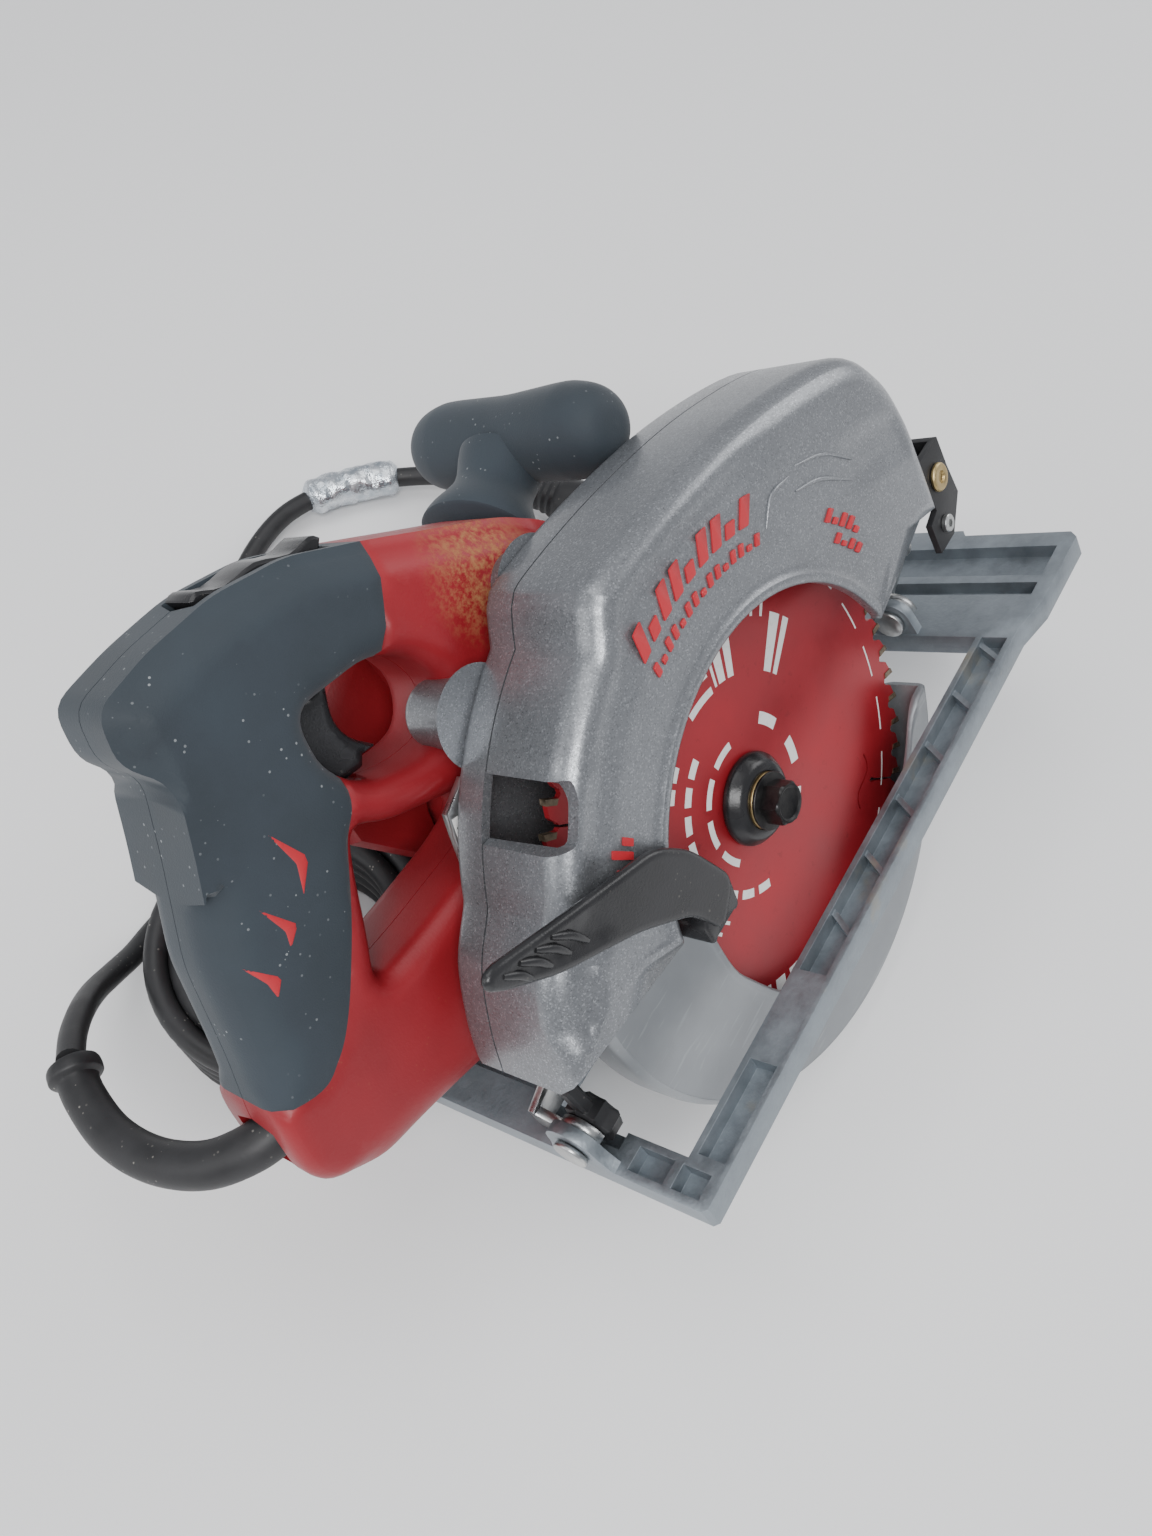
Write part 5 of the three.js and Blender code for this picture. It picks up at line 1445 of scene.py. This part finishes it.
class HandleForm:
    """The handle's lines, and its half width at any point of its side view."""

    def __init__(self):
        outline = np.vstack([ARM_TOP, FRONT_EDGE, BELOW, GRIP_BACK])
        self.outline = even_steps(softened_corners(outline, 5, 4), 2.2)
        self.top = curve_through([(-128, 140), *ARM_TOP, (10, 109)], 60)
        self.holes = [even_steps(softened_corners(h, 6, 4), 1.8) for h in (UPPER_HOLE, LOWER_HOLE)]
        self.edge = curve_through(RUBBER_EDGE, 70)
        low, high = node_box("motor_housing")
        self.motor = ((low[0] + high[0]) / 2, (low[2] + high[2]) / 2)
        self.motor_radius = (high[0] - low[0]) / 2 + 0.4

    def half(self, points):
        """Rounded outer edges, a slanted flank under the flat top, a flatter back where the cord
        comes through, and a shallow groove along the edge of the rubber."""
        x, z = points.T
        flat_back = (1 - ease(x, -150, -140)) * ease(z, 20, 30) * (1 - ease(z, 52, 62))
        radius = sizes().grip_round / MM - 7.4 * flat_back
        outer = rounded_edge(far_from(points, [self.outline]), radius, HANDLE_HALF)
        below_top = far_from(points, [self.top], closed=False)
        flank = 11.0 + 0.6 * below_top + 1.6 * ease(below_top, 7.5, 9.5)
        outer = np.where(below_top < 30, np.clip(flank, outer, HANDLE_HALF), outer)
        inner = rounded_edge(far_from(points, self.holes), 7.5, HANDLE_HALF)
        seam = far_from(points, [self.edge], closed=False)
        return np.minimum(outer, inner) - 0.5 * (1 - ease(seam, 0.05, 0.9))

    def inside(self, points, half):
        """The wall's inner face: the parting line at the edges, the hollow, and the rooms."""
        edge = np.minimum(far_from(points, [self.outline]), far_from(points, self.holes))
        hollow = np.where(edge < 3.05, 0.16, np.maximum(0.16, half - 2.6))
        for room, width in ((TRIGGER_ROOM, 8.0), (SWITCH_ROOM, 8.3), (BOOT_ROOM, 9.0)):
            hollow = np.where(is_inside(points, room), np.maximum(hollow, width), hollow)
        return np.minimum(hollow, half - 0.8)

    def is_rubber(self, points):
        return is_inside(points, np.vstack([[(-200, 180), (-36, 180)], self.edge, [(-200, 60)]]))


class SAW_OT_handle(bpy.types.Operator):
    """Rear handle: two red halves, their rubber and the grip marks"""
    bl_idname = "saw.handle"
    bl_label = "Rear handle"

    def execute(self, context):
        form = HandleForm()
        motor = ring_line(form.motor_radius, 90, form.motor)
        lines = [form.edge, np.vstack([motor, motor[:1]])]
        points, faces = spread(form.outline, form.holes, 3.0, (0.3, 1.0, 2.1, 3.0, 3.1, 4.6, 6.6, 9.0),
                               lines)
        middle = points[faces].mean(1)
        outside = np.hypot(*(middle - form.motor).T) > form.motor_radius * 0.9995
        rubber = form.is_rubber(middle)
        half = form.half(points)
        room = form.inside(points, half)
        for name, node, chosen, finish, slot in (
                ("handle", "handle_shell", outside & ~rubber, red_plastic(True), "red_plastic"),
                ("rubber", "grip_rubber", outside & rubber, grip_rubber(), "grip_rubber")):
            for side, word in ((-1, "_right"), (1, "_left")):
                self.half_shell(points, faces[chosen], half, room, side, name + word, finish,
                                node + word, slot)
        self.grip_marks(form)
        softened("handle_base", red_plastic(True), 0.0012, 3)
        return {"FINISHED"}

    def half_shell(self, points, faces, half, room, side, name, finish, node, slot):
        top = HANDLE_MIDDLE + side * half
        bottom = HANDLE_MIDDLE + side * room
        piece(name, sheet_solid(points, faces, top, bottom), "saw", finish, (node,), sharp=50)

    def on_side(self, form, outline, raise_by, sink=0.8, side=-1, spacing=1.6):
        """A thin solid that follows the handle's side face inside an outline."""
        outline = even_steps(outline, 1.0)
        points, faces = spread(outline, (), spacing, (0.2, 0.5))
        half = form.half(points)
        edge = rounded_edge(far_from(points, [outline]), 0.5, 0.35) - 0.35
        return sheet_solid(points, faces, HANDLE_MIDDLE + side * (half + raise_by + edge),
                           HANDLE_MIDDLE + side * (half - sink))

    def grip_marks(self, form):
        shapes = []
        for a, b, c in CHEVRONS:
            a, b, c = (np.array(p) for p in (a, b, c))
            inward = np.array([-2.6, 1.0])
            outline = np.array([a, b, c, b + inward * 1.5])
            shapes.append(self.on_side(form, softened_corners(outline, 0.5, 3), 0.12))
        piece("grip_chevrons", joined(*shapes), "saw", print_ink("red"), (), sharp=50)


# ---- Front grip ----
BAR_CENTRE = (47.0, 66.0, 112.0)
BAR_HALF = 44.5
POST_FOOT = (10.0, 60.0, 101.0)


class SAW_OT_front_grip(bpy.types.Operator):
    """T-shaped front grip with its post"""
    bl_idname = "saw.front_grip"
    bl_label = "Front grip"

    def execute(self, context):
        half = np.array([[0.02, BAR_HALF], [5.5, BAR_HALF - 0.5], [9.6, BAR_HALF - 2.6],
                         [12.8, BAR_HALF - 7.2], [14.6, BAR_HALF - 14.0], [14.9, BAR_HALF - 20.0],
                         [14.4, 12.0], [14.0, 0.0]])
        line = np.vstack([half * (1, -1), half[::-1][1:]])
        line = curve_through(line, 110)
        line[:, 0] = np.maximum(line[:, 0], 0.02)
        line[:, 1] = np.clip(line[:, 1], -BAR_HALF, BAR_HALF)
        bar = turned(line + (0, BAR_CENTRE[1]), (BAR_CENTRE[0], BAR_CENTRE[2]), 72)
        piece("front_grip_skin", joined(bar, self.post()), "saw", grip_rubber(), ("front_handle",),
              sharp=50)
        return {"FINISHED"}

    def post(self):
        """A waisted stem that flares into the bar and down to its foot."""
        start, end = np.array(POST_FOOT), np.array(BAR_CENTRE) - (9.0, 0, 2.2)
        t = np.linspace(0, 1, 40)
        path = start + (end - start) * t[:, None]
        radius = 19.2 - 6.4 * ease(t, 0.0, 0.6) + 1.4 * ease(t, 0.62, 1.0)
        radius[0] -= 1.0
        return swept(path, radius, 56)


# ---- Motor ----
def shell_with_holes(outer, inner, is_open):
    """Two grids of points, closed round their columns, joined along the ends and the holes."""
    rows, columns = outer.shape[:2]
    quads = np.array(net(rows, columns, close_columns=True)).reshape(rows - 1, columns, 4)
    kept = quads[~is_open].reshape(-1, 4)
    pairs = np.vstack([kept[:, [i, (i + 1) % 4]] for i in range(4)])
    _, first, count = np.unique(np.sort(pairs, 1), axis=0, return_index=True, return_counts=True)
    edge = pairs[first[count == 1]]
    n = rows * columns
    faces = kept.tolist() + (kept[:, ::-1] + n).tolist() + [[b, a, a + n, b + n] for a, b in edge.tolist()]
    return np.vstack([outer.reshape(-1, 3), inner.reshape(-1, 3)]), faces


class SAW_OT_motor(bpy.types.Operator):
    """Motor housing with its ribs, vents and brush caps, and its end cap"""
    bl_idname = "saw.motor"
    bl_label = "Motor"

    def execute(self, context):
        low, high = node_box("motor_housing")
        self.centre = ((low[0] + high[0]) / 2, (low[2] + high[2]) / 2)
        self.front, self.back = low[1], high[1]
        self.radius = (high[0] - low[0]) / 2
        self.housing()
        self.end_cap()
        for node in ("brush_cap_front", "brush_cap_rear"):
            softened(node, black_plastic(), 0.0005)
        softened("spindle_lock_button", red_plastic(), 0.0006)
        return {"FINISHED"}

    def round_grid(self, along, angles, radius):
        x = self.centre[0] + radius * np.cos(angles)
        z = self.centre[1] + radius * np.sin(angles)
        y = np.broadcast_to(along, radius.shape)
        return np.stack([x, y, z], 2)

    def housing(self):
        count = 216
        angles = np.linspace(0, 2 * np.pi, count, endpoint=False)[None]
        along = np.unique(np.r_[np.linspace(self.front, self.back, 46), 50, 50.6, 55.4, 56, 66, 66.5,
                                73.5, 74])[:, None]
        base = np.interp(along, [self.front, 72, self.back], [self.radius, self.radius, 39.0])
        base = base + 0 * angles
        turn = np.degrees(angles) % 15
        rib = ease(turn, 5.2, 6.0) * (1 - ease(turn, 9.0, 9.8))
        zone = ease(along, 76, 80) * (1 - ease(along, 96, 100))
        outer = base - 0.5 + 0.5 * rib * zone
        outer = outer - 0.9 * ease(along, self.back - 1.2, self.back)
        outer += 0.45 * ease(along, 60, 60.6) * (1 - ease(along, 63.4, 64))
        inner = base - 3.0
        degrees = np.degrees(angles)
        middle_y = (along[1:] + along[:-1]) / 2
        middle_a = degrees + 180 / count
        slot = (middle_a % 15 > 5) & (middle_a % 15 < 10)
        side = (np.abs((middle_a + 90) % 180 - 90) < 44)
        is_open = (middle_y > 50) & (middle_y < 56) & slot & side
        is_open |= (middle_y > 66) & (middle_y < 74) & slot & (middle_a > 60) & (middle_a < 120)
        hole = 5.35
        for aside in (0, 180):
            off = ((middle_a - aside + 180) % 360 - 180) * math.radians(1) * 39.5
            is_open |= np.hypot(off, middle_y - 104) < hole
        grid_out = self.round_grid(along, angles, outer)
        grid_in = self.round_grid(along, angles, inner)
        piece("motor_housing_skin", shell_with_holes(grid_out, grid_in, is_open), "saw",
              red_plastic(True), ("motor_housing",), sharp=35)

    def end_cap(self):
        """A dished cap: the profile is turned, and vents are left out in a ring of its face."""
        low, high = node_box("motor_end_cap")
        front, end = low[1], high[1]
        knots_y = [front, front + 6, front + 11.7, end - 6, end - 1.6, end, end]
        shaft_hole = 7.0
        knots_r = [39.0, 38.9, 38.0, 31.4, 28.0, 25.4, shaft_hole]
        line = curve_through(list(zip(knots_r, knots_y)), 60)
        line[:, 1] = np.clip(line[:, 1], front, end)
        wall = np.gradient(line, axis=0)
        wall = np.stack([wall[:, 1], -wall[:, 0]], 1)
        wall /= np.linalg.norm(wall, axis=1, keepdims=True)
        count = 144
        angles = np.linspace(0, 2 * np.pi, count, endpoint=False)[None]
        inner_line = line - wall * 2.4
        inner_line[:, 0] = np.maximum(inner_line[:, 0], shaft_hole)
        inner_line[0, 1] = front
        outer = self.round_grid(line[:, 1:2], angles, line[:, :1] + 0 * angles)
        inner = self.round_grid(inner_line[:, 1:2], angles, inner_line[:, :1] + 0 * angles)
        middle_r = (line[1:, :1] + line[:-1, :1]) / 2
        middle_y = (line[1:, 1:] + line[:-1, 1:]) / 2
        middle_a = np.degrees(angles) + 180 / count
        is_open = (middle_r > 14) & (middle_r < 24) & (middle_y > end - 1.5) & (middle_a % 20 > 7.5)
        is_open |= (middle_y > front + 12) & (middle_y < end - 6) & (middle_a % 15 > 7)
        shape = shell_with_holes(outer, inner, is_open)
        boss = turned([[0.02, end - 0.6], [6.6, end - 0.6], [8.6, end - 1.2], [8.6, end - 3.4],
                       [0.02, end - 3.4]], self.centre, 48)
        piece("motor_end_skin", joined(shape, boss), "saw", black_plastic(), ("motor_end_cap",),
              sharp=35)


# ---- Shoe, depth and bevel parts ----
class SAW_OT_shoe(bpy.types.Operator):
    """Ribbed shoe, its brackets and pins, and its scale"""
    bl_idname = "saw.shoe"
    bl_label = "Shoe"

    def execute(self, context):
        softened("shoe_plate", cast_magnesium(), 0.0006, 2)
        for node in ("depth_bracket", "front_bracket"):
            softened(node, bright_steel(), 0.0003, 1)
        for node in ("bevel_pin_rear", "bevel_pin_front", "depth_pivot_pin", "depth_lock_bolt"):
            softened(node, bright_steel(), 0.0003, 1)
        self.depth_label()
        softened("bevel_lock_knob", black_plastic(), 0.0006, 2)
        softened("depth_lock_lever", black_plastic(), 0.0004, 2)
        return {"FINISHED"}


    def depth_label(self):
        """A white scale on the depth arm: a curved band about the depth pivot, with ticks."""
        low, high = node_box("depth_pivot_pin")
        pivot = np.array([(low[0] + high[0]) / 2, (low[2] + high[2]) / 2])
        arm = in_saw(node_points("depth_bracket"))
        arm = arm[arm[:, 2] > 40]
        face, tip = arm[:, 1].min(), arm[:, 2].max()
        reach = np.hypot(*(arm[:, [0, 2]] - pivot).T).max()
        top = math.degrees(math.asin((tip - pivot[1]) / reach)) - 1.5
        strips = []
        for outer, inner in ((0.8, 4.0), (11.0, 14.2)):
            band = [*arc(reach - outer, 180 - top, 180 - top + 14, 16, pivot).tolist(),
                    *arc(reach - inner, 180 - top + 14, 180 - top, 16, pivot).tolist()]
            strips.append(slab(band, face - 0.25, face + 0.05, 0.0, (), 8))
        piece("depth_label", joined(*strips), "depth_frame", print_ink("white"), (),
              sharp=30)
        ticks = []
        for k in range(13):
            a = 180 - top + 0.7 + k
            depth = (2.4, 1.2, 1.7, 1.2)[k % 4]
            tick = [*arc(reach - 1.4, a, a + 0.16, 1, pivot), *arc(reach - 1.4 - depth, a + 0.16, a, 1,
                                                                  pivot)]
            ticks.append(slab(tick, face - 0.32, face - 0.2, 0.0, (), 8))
        piece("depth_ticks", joined(*ticks), "depth_frame", print_ink("black"), (),
              sharp=30)


# ---- Controls and small parts ----
class SAW_OT_controls(bpy.types.Operator):
    """Trigger, laser switch, laser bracket and its screws"""
    bl_idname = "saw.controls"
    bl_label = "Controls and laser"

    def execute(self, context):
        face = curve_through([(-70, 121), (-75.5, 111), (-75, 103), (-70.5, 95.5)], 18)
        back = softened_corners(((-76, 94), (-88, 97), (-92, 108), (-88, 122), (-78, 124)), 3, 4)
        outline = even_steps(np.vstack([face, back]), 1.0)
        piece("trigger_skin", slab(outline, HANDLE_MIDDLE - 7, HANDLE_MIDDLE + 7, 2.4, (), 2.0),
              "trigger", black_plastic(True), ("trigger",))
        softened("laser_switch", black_plastic(True), 0.0007, 3)
        softened("laser_bracket", black_plastic(), 0.0009, 3)
        low, high = node_box("laser_aim_screw")
        centre = ((low[0] + high[0]) / 2, (low[2] + high[2]) / 2)
        disc = [(0.02, -20.0), (1.9, -20.0), (2.2, -20.8), (4.4, -20.8), (5.0, -20.2), (5.0, -19.3),
                (0.02, -19.3)]
        piece("laser_disc", turned(fillet_profile(disc, 0.15, 2), centre, 48), "aim_screw",
              dull_brass(), ("laser_aim_screw",), sharp=30)
        low, high = node_box("laser_bracket_screw")
        centre = ((low[0] + high[0]) / 2, (low[2] + high[2]) / 2)
        piece("laser_screw", self.socket_screw(centre, low[1], high[1]), "saw", bright_steel(),
              ("laser_bracket_screw",), sharp=30)
        softened("laser_module", black_steel(), 0.0003)
        return {"FINISHED"}

    def socket_screw(self, centre, top, base):
        """A round head with a hexagonal socket."""
        a = np.radians(np.arange(0, 360, 6.0))
        hexagon = 1.35 / np.cos((a + np.pi / 6) % (np.pi / 3) - np.pi / 6)
        full = np.full(60, 3.1)
        rows = [(base, full * 0.01), (base, full), (top + 0.3, full), (top, full * 0.9), (top, hexagon),
                (top + 1.2, hexagon), (top + 1.3, hexagon * 0.01)]
        points = [np.stack([centre[0] + r * np.cos(a), np.full(60, y), centre[1] + r * np.sin(a)], 1)
                  for y, r in rows]
        return np.vstack(points), net(len(rows), 60, close_columns=True)


INNER_NODES = {
    "spindle_bearing": bright_steel, "guard_return_spring": bright_steel,
    "shaft_bearing_front": bright_steel, "shaft_bearing_rear": bright_steel,
    "field_core": bright_steel, "pinion_gear": bright_steel, "armature_shaft": bright_steel,
    "armature_core": copper_winding, "commutator": copper_winding,
    "carbon_brush_front": black_plastic, "carbon_brush_rear": black_plastic,
    "cooling_fan": black_plastic, "trigger_switch_box": black_plastic,
}


class SAW_OT_inner(bpy.types.Operator):
    """Finishes for the parts inside, which keep their own meshes"""
    bl_idname = "saw.inner"
    bl_label = "Inner parts"

    def execute(self, context):
        for node, finish in INNER_NODES.items():
            paint_node(node, finish())
        return {"FINISHED"}


class SAW_PT_parts(bpy.types.Panel):
    """One button for each group of parts"""
    bl_idname = "SAW_PT_parts"
    bl_label = "Circular saw"
    bl_space_type = "VIEW_3D"
    bl_region_type = "UI"
    bl_category = "Saw"

    def draw(self, context):
        layout = self.layout
        for group in (context.scene.saw_sizes, context.scene.saw_finishes):
            for name in group.bl_rna.properties.keys():
                if name not in ("rna_type", "name"):
                    layout.prop(group, name)
        for operator in OPERATORS:
            layout.operator(operator.bl_idname)


OPERATORS = (SAW_OT_stage, SAW_OT_cord, SAW_OT_guard_cover, SAW_OT_guard_housing, SAW_OT_lower_guard,
             SAW_OT_blade, SAW_OT_handle, SAW_OT_front_grip, SAW_OT_motor, SAW_OT_shoe,
             SAW_OT_controls, SAW_OT_inner)
CLASSES = (SawSizes, SawFinishes, *OPERATORS, SAW_PT_parts)


def register():
    for kind in CLASSES:
        bpy.utils.register_class(kind)
    bpy.types.Scene.saw_sizes = PointerProperty(type=SawSizes)
    bpy.types.Scene.saw_finishes = PointerProperty(type=SawFinishes)


def unregister():
    del bpy.types.Scene.saw_finishes
    del bpy.types.Scene.saw_sizes
    for kind in reversed(CLASSES):
        bpy.utils.unregister_class(kind)


def main():
    register()
    bpy.ops.saw.stage()
    bpy.ops.saw.cord()
    bpy.ops.saw.guard_cover()
    bpy.ops.saw.guard_housing()
    bpy.ops.saw.lower_guard()
    bpy.ops.saw.blade()
    bpy.ops.saw.handle()
    bpy.ops.saw.front_grip()
    bpy.ops.saw.motor()
    bpy.ops.saw.shoe()
    bpy.ops.saw.controls()
    bpy.ops.saw.inner()


if __name__ == "__main__":
    main()
